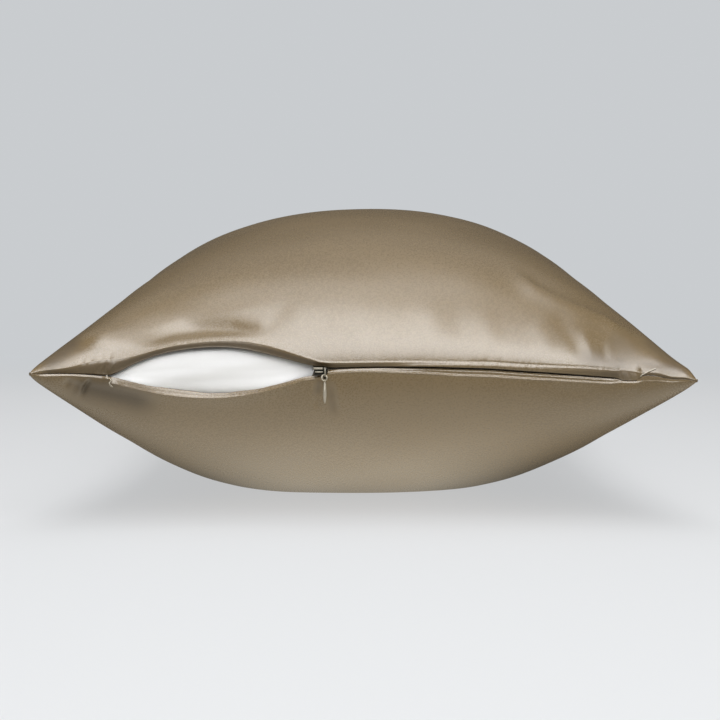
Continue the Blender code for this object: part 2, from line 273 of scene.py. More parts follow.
# Creases of the zip end and the crown, placed as they are seen in the 720 pixel frame:
# panel (1 upper, -1 lower), height (mm, + stands proud), width towards the top and the
# bottom of the frame (px), share of its length over which each end fades, points
CREASES = (
    # the trough behind the upper lip and the swell above it
    (1, -2.2, 6.5, 7.2, 0.30, ((124, 345), (150, 337), (172, 332.5), (206, 329), (232, 328), (254, 329), (276, 334))),
    (1, -0.5, 5.0, 8.5, 0.30, ((134, 345), (150, 338), (165, 330), (185, 324.5), (212, 325))),
    (1, 0.4, 6.0, 7.0, 0.30, ((124, 334), (147, 330), (175, 324), (206, 318), (235, 311), (262, 304), (292, 300))),
    # diagonal fold from the right flank to the placket
    (1, 2.2, 4.5, 8.0, 0.25, ((500, 262), (535, 289), (558, 301), (579, 310), (602, 319), (625, 332), (643, 344))),
    (1, -0.4, 8.0, 7.0, 0.35, ((550, 308), (563, 326), (575, 342), (585, 364))),
    (1, 0.28, 5.0, 6.0, 0.35, ((580, 326), (587, 340), (591, 352), (593, 365))),
    (1, -0.25, 4.5, 4.5, 0.35, ((600, 336), (604, 350), (607, 366))),
    # folds that rise from the mouth's corner
    (1, 0.55, 1.7, 1.4, 0.25, ((106.5, 373.5), (110.5, 368), (116, 362.5))),
    (1, -0.45, 1.8, 1.8, 0.25, ((101, 374), (104.5, 368), (109, 362.5))),
    (1, -0.40, 1.6, 1.6, 0.30, ((96, 373.5), (98.5, 368), (101.5, 363.5))),
    (1, -0.28, 1.3, 1.3, 0.30, ((620.5, 371), (622, 376), (623.5, 381))),
    (1, -0.24, 1.2, 1.4, 0.30, ((628.5, 372), (630.5, 376.5), (632, 381.5))),
    # soft swells of the crown where the light falls
    (1, 0.35, 12.0, 12.0, 0.35, ((420, 292), (430, 312), (436, 345))),
    (1, -0.15, 12.0, 12.0, 0.35, ((398, 285), (404, 305), (402, 340))),
    (1, 0.3, 11.0, 11.0, 0.35, ((370, 296), (364, 318), (352, 346))),
    (1, -0.2, 10.0, 10.0, 0.35, ((342, 292), (330, 312), (316, 338))),
    (1, 0.3, 10.0, 10.0, 0.35, ((318, 290), (300, 312), (290, 334))),
    (1, -0.35, 8.0, 8.0, 0.35, ((292, 296), (274, 318), (262, 336))),
    (1, 0.25, 10.0, 10.0, 0.35, ((478, 300), (486, 322), (498, 350))),
    (1, -0.22, 11.0, 11.0, 0.35, ((454, 296), (458, 318), (464, 348))),
    (1, 0.3, 10.0, 10.0, 0.35, ((530, 318), (544, 336), (556, 352))),
    # lower left: two short curved folds under the seam
    (-1, -1.9, 2.6, 2.6, 0.30, ((90, 377), (87.5, 384), (83.5, 392), (79, 401))),
    (-1, 1.0, 3.0, 3.0, 0.30, ((84, 378), (81.5, 386), (77.5, 394), (73, 401))),
    (-1, -1.3, 3.4, 3.4, 0.35, ((70, 377), (67.5, 384), (63, 391))),
    (-1, -3.2, 7.5, 14.0, 0.28, ((46, 382), (70, 388), (94, 393), (118, 398), (142, 403), (166, 408))),
    # under the lower lip, and beside the hanging pull
    (-1, -1.3, 3.6, 3.6, 0.35, ((319, 380), (317.5, 393), (315, 412))),
    (-1, -1.5, 3.6, 4.2, 0.35, ((331.5, 379), (333, 396), (337, 420))),
    (-1, -0.8, 7.0, 9.0, 0.35, ((540, 389), (568, 391), (604, 393))),
)

# Places where the filling pushes the cloth forward: panel, forward (mm), middle (px), reach (px)
SWELLS = (
    (1, 8.0, (94, 333), (30, 15)),
    (1, -7.0, (190, 324), (56, 15)),
    (1, 1.2, (660, 360), (12, 7)),
)

# Soft dark places where the cloth lies in shade: panel, amount, width (px), fade, points
SHADES = (
    (-1, 0.26, 3.4, 0.30, ((319.5, 378), (318.5, 386), (317, 396))),
    (-1, 0.24, 3.6, 0.35, ((330, 379), (330.5, 394), (333, 408), (336, 420))),
    (-1, 0.50, 11.0, 0.30, ((60, 384), (88, 388), (112, 393), (138, 400), (164, 405))),
    (1, 0.38, 8.0, 0.25, ((36, 369), (52, 362), (66, 350), (84, 335))),
    (1, 0.22, 6.0, 0.20, ((640, 338), (665, 355), (684, 369), (694, 377))),
    (1, 0.28, 9.0, 0.30, ((568, 353), (596, 360), (618, 364.5), (640, 366))),
    (1, 0.15, 13.0, 0.35, ((604, 334), (624, 348), (644, 360))),
    (1, 0.26, 6.5, 0.30, ((626, 361), (645, 364), (668, 368), (688, 373))),
    (-1, 0.12, 3.0, 0.30, ((86, 379), (83, 389), (79, 398))),
)

# Short gathers across the folded edges: panel, first and last (px), spacing (px), depth (mm),
# reach above and below the crest (mm), lean (px across for each px up), seed
GATHERS = (
    (1, 78, 112, 9.0, 0.34, 3.4, 9.0, 0.40, 3),
    (1, 160, 300, 7.5, 0.22, 1.6, 5.0, 0.1, 4),
    (1, 470, 545, 4.4, 0.40, 3.4, 2.4, 0.45, 5),
    (1, 380, 470, 5.0, 0.16, 2.4, 2.0, 0.2, 6),
    (1, 545, 616, 5.2, 0.22, 3.0, 2.0, 0.2, 7),
    (-1, 236, 274, 5.2, 0.30, 6.5, 2.0, -0.1, 8),
    (-1, 120, 236, 8.0, 0.14, 4.0, 2.5, -0.1, 9),
    (-1, 330, 600, 6.3, 0.10, 3.0, 3.0, 0.0, 10),
    (-1, 617, 660, 4.5, 0.16, 2.5, 2.5, 0.4, 13),
    (1, 642, 676, 6.0, 0.08, 3.0, 2.5, 0.4, 14),
)


def line_field(Q, points):
    """Signed distance in pixels of seen points from a line (+ below it), and the share along it."""
    pts = np.array(points, float)
    seg = np.diff(pts, axis=0)
    size = np.linalg.norm(seg, axis=1)
    run = np.concatenate([[0.0], np.cumsum(size)])
    best = np.full(Q.shape[:-1], 1e9)
    sign = np.zeros_like(best)
    share = np.zeros_like(best)
    for k in range(len(seg)):
        d = Q - pts[k]
        t = np.clip((d @ seg[k]) / size[k] ** 2, 0, 1)
        r = d - t[..., None] * seg[k]
        dist = np.linalg.norm(r, axis=-1)
        near = dist < best
        best = np.where(near, dist, best)
        cross = seg[k][0] * r[..., 1] - seg[k][1] * r[..., 0]
        sign = np.where(near, np.sign(cross) * (1 if seg[k][0] >= 0 else -1), sign)
        share = np.where(near, (run[k] + t * size[k]) / run[-1], share)
    return best * sign, share


def crease_height(side, Q):
    out = np.zeros(Q.shape[:-1])
    for panel_side, height, above, below, fade, points in CREASES:
        if panel_side != side:
            continue
        s, share = line_field(Q, points)
        w = np.where(s < 0, above, below)
        ends = smooth(0.0, fade, share) * (1 - smooth(1 - fade, 1.0, share))
        out += height / 1000 * np.exp(-(s / w) ** 2) * ends
    return out


def swell_forward(side, Q):
    out = np.zeros(Q.shape[:-1])
    for panel_side, forward, mid, reach in SWELLS:
        if panel_side == side:
            r = np.hypot((Q[..., 0] - mid[0]) / reach[0], (Q[..., 1] - mid[1]) / reach[1])
            out += forward / 1000 * np.exp(-r ** 2)
    return out


def gather_height(side, Q, d_crest, band):
    """Small gathers pulled by the stitching: d_crest in metres behind the crest (+)."""
    out = np.zeros(Q.shape[:-1])
    crest_px = Q[BAND_ROWS]                          # where each column's crest is seen
    up = (crest_px[None, :, 1] - Q[..., 1])          # pixels above the crest
    for panel_side, first, last, pitch, depth, above, below, lean, seed in GATHERS:
        if panel_side != side:
            continue
        rng = np.random.default_rng(seed)
        x = Q[..., 0] - lean * up
        field = np.zeros_like(out)
        at = first + pitch * 0.5
        while at < last:
            place = at + rng.uniform(-0.22, 0.22) * pitch
            strength = rng.uniform(0.45, 1.0)
            width = pitch * rng.uniform(0.26, 0.38)
            reach = rng.uniform(0.75, 1.25)
            away = np.where(d_crest > 0, d_crest * 1000 / (above * reach), -d_crest * 1000 / (below * reach))
            field += strength * np.exp(-((x - place) / width) ** 2) * np.exp(-away ** 2)
            at += pitch
        ends = smooth(first - 2, first + 4, Q[..., 0]) * (1 - smooth(last - 4, last + 2, Q[..., 0]))
        out -= depth / 1000 * field * ends
    return out


# ------------------------------------------------------------- mesh utilities
def mesh_object(name, verts, faces, mat=None, smooth_shading=True):
    mesh = bpy.data.meshes.new(name)
    mesh.from_pydata([tuple(map(float, v)) for v in verts], [], faces)
    mesh.update()
    if smooth_shading:
        mesh.shade_smooth()
    ob = bpy.data.objects.new(name, mesh)
    bpy.context.scene.collection.objects.link(ob)
    if mat:
        mesh.materials.append(mat)
    return ob


def grid_faces(nu, nv, offset=0, flip=False):
    """Quads of a grid stored row by row: nv rows of nu points."""
    i, j = np.meshgrid(np.arange(nu - 1), np.arange(nv - 1))
    a = (offset + j * nu + i).ravel()
    q = np.stack([a, a + 1, a + nu + 1, a + nu], -1)
    return (q[:, ::-1] if flip else q).tolist()


# ------------------------------------------------------------------ materials
def nodes_of(name):
    m = bpy.data.materials.new(name)
    m.use_nodes = True
    t = m.node_tree
    return m, t, t.nodes["Principled BSDF"]


def link(t, a, b):
    t.links.new(a, b)


def noise(t, coords, scale, detail=2.0, rough=0.5, distort=0.0):
    n = t.nodes.new("ShaderNodeTexNoise")
    n.inputs["Scale"].default_value = scale
    n.inputs["Detail"].default_value = detail
    n.inputs["Roughness"].default_value = rough
    n.inputs["Distortion"].default_value = distort
    link(t, coords, n.inputs["Vector"])
    return n


def ramp(t, fac, stops):
    r = t.nodes.new("ShaderNodeValToRGB")
    while len(r.color_ramp.elements) < len(stops):
        r.color_ramp.elements.new(0.5)
    for e, (pos, col) in zip(r.color_ramp.elements, stops):
        e.position = pos
        e.color = (*col, 1.0) if len(col) == 3 else col
    link(t, fac, r.inputs["Fac"])
    return r


def math_node(t, op, a, b=None, c=None):
    n = t.nodes.new("ShaderNodeMath")
    n.operation = op
    for k, v in enumerate((a, b, c)):
        if v is None:
            continue
        if isinstance(v, (int, float)):
            n.inputs[k].default_value = v
        else:
            link(t, v, n.inputs[k])
    return n.outputs[0]


def mapped(t, coords, scale=(1, 1, 1), rot=(0, 0, 0)):
    m = t.nodes.new("ShaderNodeMapping")
    m.inputs["Scale"].default_value = scale
    m.inputs["Rotation"].default_value = rot
    link(t, coords, m.inputs["Vector"])
    return m.outputs[0]


def satin(name, colour, dark, light):
    m, t, b = nodes_of(name)
    co = t.nodes.new("ShaderNodeTexCoord").outputs["Object"]
    # broad colour drift, then the grain of the weave
    drift = noise(t, co, 9.0, 3.0, 0.55)
    grain = noise(t, mapped(t, co, (1.0, 1.0, 1.35)), 760.0, 2.0, 0.6)
    fine = noise(t, mapped(t, co, (1.0, 0.5, 2.2)), 1900.0, 1.0, 0.5)
    tone = math_node(t, "ADD", math_node(t, "MULTIPLY", drift.outputs["Fac"], 0.25),
                     math_node(t, "ADD", math_node(t, "MULTIPLY", grain.outputs["Fac"], 0.45),
                               math_node(t, "MULTIPLY", fine.outputs["Fac"], 0.30)))
    col = ramp(t, tone, [(0.36, dark), (0.50, colour), (0.64, light)])
    # painted shade: the attribute darkens the colour of the turned-under band, the slit's inside and other places in
    # shade, and makes them rougher like the duller reverse of the satin
    band = t.nodes.new("ShaderNodeAttribute")
    band.attribute_name = "painted_fold_shade"
    shade = ramp(t, band.outputs["Fac"], [(0.0, (1, 1, 1)), (0.5, (0.48, 0.465, 0.45)), (1.0, (0.08, 0.07, 0.06))])
    painted_shade_mix = t.nodes.new("ShaderNodeMix")
    painted_shade_mix.data_type = "RGBA"
    painted_shade_mix.blend_type = "MULTIPLY"
    painted_shade_mix.inputs["Factor"].default_value = 1.0
    link(t, col.outputs["Color"], painted_shade_mix.inputs["A"])
    link(t, shade.outputs["Color"], painted_shade_mix.inputs["B"])
    link(t, painted_shade_mix.outputs["Result"], b.inputs["Base Color"])
    r = math_node(t, "ADD", math_node(t, "MULTIPLY", grain.outputs["Fac"], 0.10),
                  math_node(t, "MULTIPLY_ADD", drift.outputs["Fac"], 0.05, 0.20))
    r = math_node(t, "ADD", r, math_node(t, "MULTIPLY", band.outputs["Fac"], 0.45))
    link(t, r, b.inputs["Roughness"])
    b.inputs["Metallic"].default_value = 0.0
    b.inputs["IOR"].default_value = 1.5
    b.inputs["Specular IOR Level"].default_value = 1.0
    b.inputs["Sheen Weight"].default_value = 0.0
    b.inputs["Sheen Roughness"].default_value = 0.35
    b.inputs["Sheen Tint"].default_value = (0.95, 0.90, 0.80, 1.0)
    h = math_node(t, "ADD", math_node(t, "MULTIPLY", grain.outputs["Fac"], 0.7),
                  math_node(t, "MULTIPLY", fine.outputs["Fac"], 0.5))
    bump = t.nodes.new("ShaderNodeBump")
    bump.inputs["Strength"].default_value = 0.36
    bump.inputs["Distance"].default_value = 0.00035
    link(t, h, bump.inputs["Height"])
    link(t, bump.outputs["Normal"], b.inputs["Normal"])
    return m


def cotton(name, colour, dark, scale=700.0, strength=0.25, rough=0.85):
    m, t, b = nodes_of(name)
    co = t.nodes.new("ShaderNodeTexCoord").outputs["Object"]
    drift = noise(t, co, 16.0, 3.0, 0.5)
    wx = t.nodes.new("ShaderNodeTexWave")
    wx.bands_direction = "X"
    wx.inputs["Scale"].default_value = scale / 6.28
    wx.inputs["Distortion"].default_value = 0.6
    wz = t.nodes.new("ShaderNodeTexWave")
    wz.bands_direction = "Z"
    wz.inputs["Scale"].default_value = scale / 6.28
    wz.inputs["Distortion"].default_value = 0.6
    link(t, co, wx.inputs["Vector"])
    link(t, co, wz.inputs["Vector"])
    weave = math_node(t, "MAXIMUM", wx.outputs["Fac"], wz.outputs["Fac"])
    tone = math_node(t, "ADD", math_node(t, "MULTIPLY", drift.outputs["Fac"], 0.7),
                     math_node(t, "MULTIPLY", weave, 0.3))
    col = ramp(t, tone, [(0.25, dark), (0.65, colour)])
    link(t, col.outputs["Color"], b.inputs["Base Color"])
    b.inputs["Roughness"].default_value = rough
    b.inputs["Sheen Weight"].default_value = 0.25
    b.inputs["Sheen Roughness"].default_value = 0.5
    bump = t.nodes.new("ShaderNodeBump")
    bump.inputs["Strength"].default_value = strength
    bump.inputs["Distance"].default_value = 0.0003
    link(t, weave, bump.inputs["Height"])
    link(t, bump.outputs["Normal"], b.inputs["Normal"])
    return m


def enamel(name, colour, dark):
    m, t, b = nodes_of(name)
    co = t.nodes.new("ShaderNodeTexCoord").outputs["Object"]
    n = noise(t, co, 900.0, 4.0, 0.6)
    col = ramp(t, n.outputs["Fac"], [(0.35, dark), (0.6, colour)])
    # painted shade: marked parts are darkened to near black where the slider lies in shadow
    deep = t.nodes.new("ShaderNodeAttribute")
    deep.attribute_name = "painted_recess_shade"
    shade = ramp(t, deep.outputs["Fac"], [(0.0, (1, 1, 1)), (1.0, (0.03, 0.028, 0.022))])
    recess_shade_mix = t.nodes.new("ShaderNodeMix")
    recess_shade_mix.data_type = "RGBA"
    recess_shade_mix.blend_type = "MULTIPLY"
    recess_shade_mix.inputs["Factor"].default_value = 1.0
    link(t, col.outputs["Color"], recess_shade_mix.inputs["A"])
    link(t, shade.outputs["Color"], recess_shade_mix.inputs["B"])
    link(t, recess_shade_mix.outputs["Result"], b.inputs["Base Color"])
    b.inputs["Specular IOR Level"].default_value = 0.4
    b.inputs["Metallic"].default_value = 0.55
    r = math_node(t, "MULTIPLY_ADD", n.outputs["Fac"], 0.25, 0.22)
    link(t, r, b.inputs["Roughness"])
    b.inputs["Coat Weight"].default_value = 0.3
    b.inputs["Coat Roughness"].default_value = 0.2
    bump = t.nodes.new("ShaderNodeBump")
    bump.inputs["Strength"].default_value = 0.15
    bump.inputs["Distance"].default_value = 0.0001
    link(t, n.outputs["Fac"], bump.inputs["Height"])
    link(t, bump.outputs["Normal"], b.inputs["Normal"])
    return m


def stage_plain(name, colour, rough=0.7):
    m, t, b = nodes_of(name)
    b.inputs["Base Color"].default_value = (*colour, 1.0)
    b.inputs["Roughness"].default_value = rough
    b.inputs["Specular IOR Level"].default_value = 0.3
    return m


SATIN_TOP = satin("satin_upper", (0.183, 0.127, 0.059), (0.153, 0.105, 0.048), (0.215, 0.150, 0.072))
SATIN_LOW = satin("satin_lower", (0.183, 0.127, 0.059), (0.153, 0.105, 0.048), (0.215, 0.150, 0.072))
WHITE = cotton("pillow_cotton", (0.80, 0.805, 0.81), (0.765, 0.77, 0.775), scale=3600.0, strength=0.12)
# tape and coil get darker browns than the cloth: painted shade, so the slit and the gap by the slider read dark
TAPE = cotton("zip_tape", (0.085, 0.066, 0.040), (0.050, 0.039, 0.023), scale=2600.0, strength=0.5, rough=0.7)
COIL = cotton("zip_coil", (0.12, 0.092, 0.055), (0.07, 0.053, 0.030), scale=5200.0, strength=0.2, rough=0.4)
THREAD = cotton("stitch_thread", (0.52, 0.44, 0.32), (0.36, 0.30, 0.21), scale=9000.0, strength=0.4, rough=0.5)
METAL = enamel("zip_enamel", (0.35, 0.325, 0.265), (0.24, 0.22, 0.175))
# the drop takes a paler copy of the slider's enamel: painted light, for its upright face that catches less of the lamps
PULL = enamel("pull_enamel", (0.50, 0.455, 0.37), (0.42, 0.38, 0.305))
PALE_THREAD = cotton("pale_thread", (0.82, 0.77, 0.66), (0.66, 0.60, 0.49), scale=9000.0, strength=0.4, rough=0.6)

# ------------------------------------------------------------- satin panels
FINE_COLUMNS = 720
RETURN_ROWS, BAND_ROWS, NEAR_ROWS, FAR_ROWS = 5, 13, 34, 120
CREST_ROW = RETURN_ROWS + BAND_ROWS
NEAR_REACH = 0.030
LINING = 0.0010

# the folded-in cloth behind each edge: across (mm), how far back it goes (mm)
EDGE_RETURN = ((-229.5, 0.4), (-200, 1.2), (-176, 2.0), (-150, 1.5), (-60, 1.5), (-30, 2.0), (-18, 3.0), (170, 3.0), (180, 1.5), (229.5, 0.4))
# how much painted shade darkens the upper band, which is also made rougher: across (mm), amount
UPPER_SHADE = ((-229.5, 0.2), (-205, 0.45), (-180, 0.6), (-150, 1.0), (-40, 1.0), (-12, 0.62), (10, 0.62), (34, 0.16), (55, 0.0), (120, 0.0), (150, 0.35), (174, 0.7), (190, 0.3), (229.5, 0.0))
# share of the lower band's height taken by its first, rolled edge; 1 = one plain slope
LOWER_ROLL = ((-229.5, 1.0), (30, 1.0), (55, 0.34), (150, 0.30), (166, 0.5), (174, 0.9), (229.5, 1.0))
# how far the upper band bellies out between its stitches and the slit: across (mm), mm
UPPER_ROLL = ((-229.5, 0.0), (-30, 0.0), (0, 0.15), (30, 0.22), (55, 0.45), (80, 0.85), (110, 0.80), (140, 0.40), (165, 0.20), (180, 0.0), (229.5, 0.0))
edge_return = hermite(EDGE_RETURN, 1)
lower_roll = hermite(LOWER_ROLL, 1)
upper_shade = hermite(UPPER_SHADE, 1)
upper_roll = hermite(UPPER_ROLL, 1)


def column_shares(cells):
    return np.sin(np.pi / 2 * np.linspace(-1, 1, cells + 1))


def profile(X, side, samples=900):
    """Shares of the length and arc lengths along each column, from the zip end back."""
    tau = np.sin(np.pi / 2 * np.linspace(-1, 1, samples))
    Y = np.sin(np.pi / 2 * tau)                      # dense at both ends
    XX, YY = np.meshgrid(X, Y)
    P = base(XX, YY, side)
    step = np.linalg.norm(np.diff(P, axis=0), axis=2)
    return Y, np.vstack([np.zeros(len(X)), np.cumsum(step, axis=0)])


def panel_points(side):
    """Shares of the length for every row and column, rows set out by arc length."""
    X = column_shares(FINE_COLUMNS)
    mm = 1000 * X * HALF_WIDTH
    Y, S = profile(X, side)
    length = S[-1]

    def arc_of(rise):
        at = share_at(X, rise, side)
        return np.array([np.interp(at[c], Y, S[:, c]) for c in range(len(X))])

    at_edge = arc_of(edge_rise[side](mm) / 1000)
    at_crest = np.maximum(arc_of(crest_rise[side](mm) / 1000), at_edge + 0.0004)
    band = at_edge + (at_crest - at_edge) * (np.arange(BAND_ROWS + 1) / BAND_ROWS)[:, None]
    k = np.arange(1, NEAR_ROWS + 1)
    ahead = np.where(k <= 12, 0.00026 * k, 0.00312 + (NEAR_REACH - 0.00312) * (np.maximum(k - 12, 0) / (NEAR_ROWS - 12)) ** 1.4)
    near = at_crest + ahead[:, None]
    # far rows: spacing grows to the middle and shrinks again towards the back seam
    w = np.interp(np.linspace(0, 1, FAR_ROWS), [0, 0.08, 0.80, 0.93, 1.0], [1.8, 6.0, 6.0, 2.6, 0.6])
    w = np.cumsum(w) / w.sum()
    far = near[-1] + (length - near[-1]) * w[:, None]
    arcs = np.vstack([band, near, far])
    YY = np.empty_like(arcs)
    for c in range(arcs.shape[1]):
        YY[:, c] = np.interp(arcs[:, c], S[:, c], Y)
    return X, mm, YY, arcs, at_edge, at_crest


def band_push(side, mm, share, d_edge, d_crest):
    """How far the folded band stands back from the crest, with its ridges (metres)."""
    depth = edge_depth[side](mm) / 1000
    width = np.maximum(d_edge - d_crest, 1e-4)
    fine = np.minimum(width / 0.0025, 1.0)
    if side > 0:
        rise = smooth(0.0, 1.0, share) ** 0.9
        push = -depth * (1 - rise)
        push = push + upper_roll(mm) / 1000 * 4 * share * (1 - share)
        # the line of stitches just above the crest
        sewn = smooth(55.0, 100.0, mm) * (1 - smooth(168.0, 184.0, mm))
        push = push - 0.00018 * sewn * np.exp(-((d_crest - 0.0013) / 0.00055) ** 2)
    else:
        roll = lower_roll(mm)
        one = share + 0.10 * np.sin(2 * np.pi * share) * smooth(-40.0, -20.0, mm)
        two = 0.56 * smooth(0.0, 0.36, share) + 0.44 * smooth(0.70, 1.0, share)
        mix = smooth(0.35, 0.95, roll)
        push = -depth * (1 - (mix * one + (1 - mix) * two))
        # the sewn line along the middle of the open lip
        lip = smooth(-178.0, -166.0, mm) * (1 - smooth(-44.0, -30.0, mm))
        push = push - 0.00022 * lip * np.exp(-((share - 0.46) / 0.085) ** 2)
        push = push + 0.00010 * lip * np.exp(-((share - 0.12) / 0.08) ** 2)
        # the whole lip stands proud of the cloth below it
        push = push + lip_proud(mm) / 1000 * np.exp(-(np.maximum(d_crest, 0) / 0.0062) ** 1.6)
    # thin ridges of the folded edge and of the stitched crest
    end = smooth(186.0, 194.0, mm)
    crest = 0.00030 if side > 0 else 0.00034 * (1 - 0.6 * end)
    push = push + crest * fine * np.exp(-(d_crest / 0.00065) ** 2)
    push = push + (0.00004 if side > 0 else 0.00016 + 0.00030 * end) * fine * np.exp(-(d_edge / 0.00045) ** 2)
    return push


def folds(side, P, N, XX, YY, d_crest):
    """Outward displacement of a panel in metres: swells, troughs, gathers, seams."""
    h = bulge(XX, YY, side)
    q_side = np.sqrt(h ** 2 + ((1 - np.abs(XX)) * HALF_WIDTH) ** 2)
    q_back = np.sqrt(h ** 2 + ((1 - YY) * HALF_LENGTH) ** 2)
    q = np.minimum(q_side, q_back)
    out = -0.0008 * np.exp(-(q / 0.0015) ** 2)       # groove of the closed seams
    # gathers along the closed seams, dying out into the panel and towards the zip end
    corner = np.hypot((1 - np.abs(XX)) * 1.0, (1 - np.abs(YY)) * 1.3)
    clear = smooth(0.12, 0.34, corner)
    y_mm, x_mm = P[..., 1] * 1000, P[..., 0] * 1000
    on_side = np.exp(-q_side / 0.014) * (1 - np.exp(-(q_side / 0.0035) ** 2))
    on_back = np.exp(-q_back / 0.024) * (1 - np.exp(-(q_back / 0.0035) ** 2))
    left = (XX < 0)
    wave = np.where(left, ripple(y_mm + 0.25 * h * 1000, 19.0, 41 + side), ripple(y_mm - 0.2 * h * 1000, 17.0, 51 + side))
    long = np.where(left, ripple(y_mm, 70.0, 61 + side, 2), ripple(y_mm, 64.0, 71 + side, 2))
    out += (0.0004 * on_side * wave * (0.55 + 0.45 * long)) * clear * smooth(-0.93, -0.70, YY)
    out += 0.0012 * on_back * ripple(x_mm + 0.3 * h * 1000, 21.0, 81 + side) * clear
    # unevenness of the filling, over hand-sized areas
    u, v = P[..., 0] * 1000, P[..., 1] * 1000
    lumps = (ripple(0.9 * u + 0.45 * v, 165.0, 21 + side, 2) * ripple(v - 0.25 * u, 200.0, 31 + side, 2)
             + 0.22 * ripple(u - 0.6 * v, 110.0, 91 + side, 2))
    out += 0.0006 * lumps * smooth(0.004, 0.06, q) * smooth(0.0, 0.05, d_crest + 0.01)
    return out


def place_panel(side):
    """Every point of a panel with its folds: turned-in rows first, then edge to back seam."""
    X, mm, YY, arcs, at_edge, at_crest = panel_points(side)
    XX = np.broadcast_to(X, YY.shape)
    P = base(XX, YY, side)
    N = base_normal(XX, YY, side)
    d_edge, d_crest = arcs - at_edge, arcs - at_crest
    width = np.maximum(at_crest - at_edge, 1e-4)
    Q = seen_at(P)
    view = np.array(CAM_AT) - P
    view /= np.linalg.norm(view, axis=-1, keepdims=True)
    facing = smooth(-0.05, 0.25, (N * view).sum(-1)) * smooth(0.35, -0.35, YY)
    push = band_push(side, mm, np.clip(d_edge / width, 0, 1), d_edge, d_crest)
    tips = smooth(1.0, 0.93, np.abs(XX))
    band = push * (0.25 + 0.75 * tips)
    push = folds(side, P, N, XX, YY, d_crest)
    push = push + (crease_height(side, Q) + gather_height(side, Q, d_crest, width)) * facing * tips
    P = P + N * push[..., None]
    P[..., 1] -= swell_forward(side, Q) * facing * smooth(0.0, 0.012, d_crest) + band
    # the corners are turned and sewn blunt, and the right one is a little fuller above
    if side > 0:
        r = np.hypot(P[..., 0] - 0.2275, P[..., 1] + 0.3600)
        P[..., 2] += 0.0022 * np.exp(-(r / 0.021) ** 2) * smooth(0.0012, 0.006, bulge(XX, YY, side))
    over = np.maximum(np.abs(P[..., 0]) - 0.2215, 0.0)
    P[..., 0] -= np.sign(P[..., 0]) * over ** 2 * np.where(P[..., 0] < 0, 30.0, 12.0)
    # cloth turned in round the folded edge
    back = edge_return(mm) / 1000
    turned = []
    for k in range(RETURN_ROWS, 0, -1):
        a = k / RETURN_ROWS
        lift = 0.00045 * math.sin(min(1.0, a * 1.6) * math.pi / 2)
        row = P[0].copy()
        row[:, 1] += back * a ** 1.25
        row[:, 2] += side * lift * (0.2 + 0.8 * np.minimum(1.0, back / 0.002))
        turned.append(row)
    P = np.concatenate([np.array(turned), P], 0)
    N = np.concatenate([np.repeat(N[:1], RETURN_ROWS, 0), N], 0)
    if side < 0:
        P[..., 2] = flatten(P[..., 2])
    d = np.concatenate([np.zeros((RETURN_ROWS, len(X))), np.maximum(d_edge, 0)], 0)
    return P, N, d, np.broadcast_to(width, d.shape)


def zipper(a, b, pa, pb):
    """Triangles between two lines of vertices, walked together by length."""
    def run(p):
        r = np.concatenate([[0.0], np.cumsum(np.linalg.norm(np.diff(p, axis=0), axis=1))])
        return r / max(r[-1], 1e-12)
    ra, rb = run(pa), run(pb)
    i = j = 0
    out = []
    while i < len(a) - 1 or j < len(b) - 1:
        if j == len(b) - 1 or (i < len(a) - 1 and ra[i + 1] <= rb[j + 1]):
            out.append((a[i], a[i + 1], b[j]))
            i += 1
        else:
            out.append((a[i], b[j + 1], b[j]))
            j += 1
    return out


PANELS = {}


def face_out(ob):
    """Turn every face of a closed piece outward."""
    bm = bmesh.new()
    bm.from_mesh(ob.data)
    bmesh.ops.recalc_face_normals(bm, faces=bm.faces)
    if bm.calc_volume(signed=True) < 0:
        bmesh.ops.reverse_faces(bm, faces=bm.faces)
    bm.to_mesh(ob.data)
    bm.free()
    ob.data.shade_smooth()


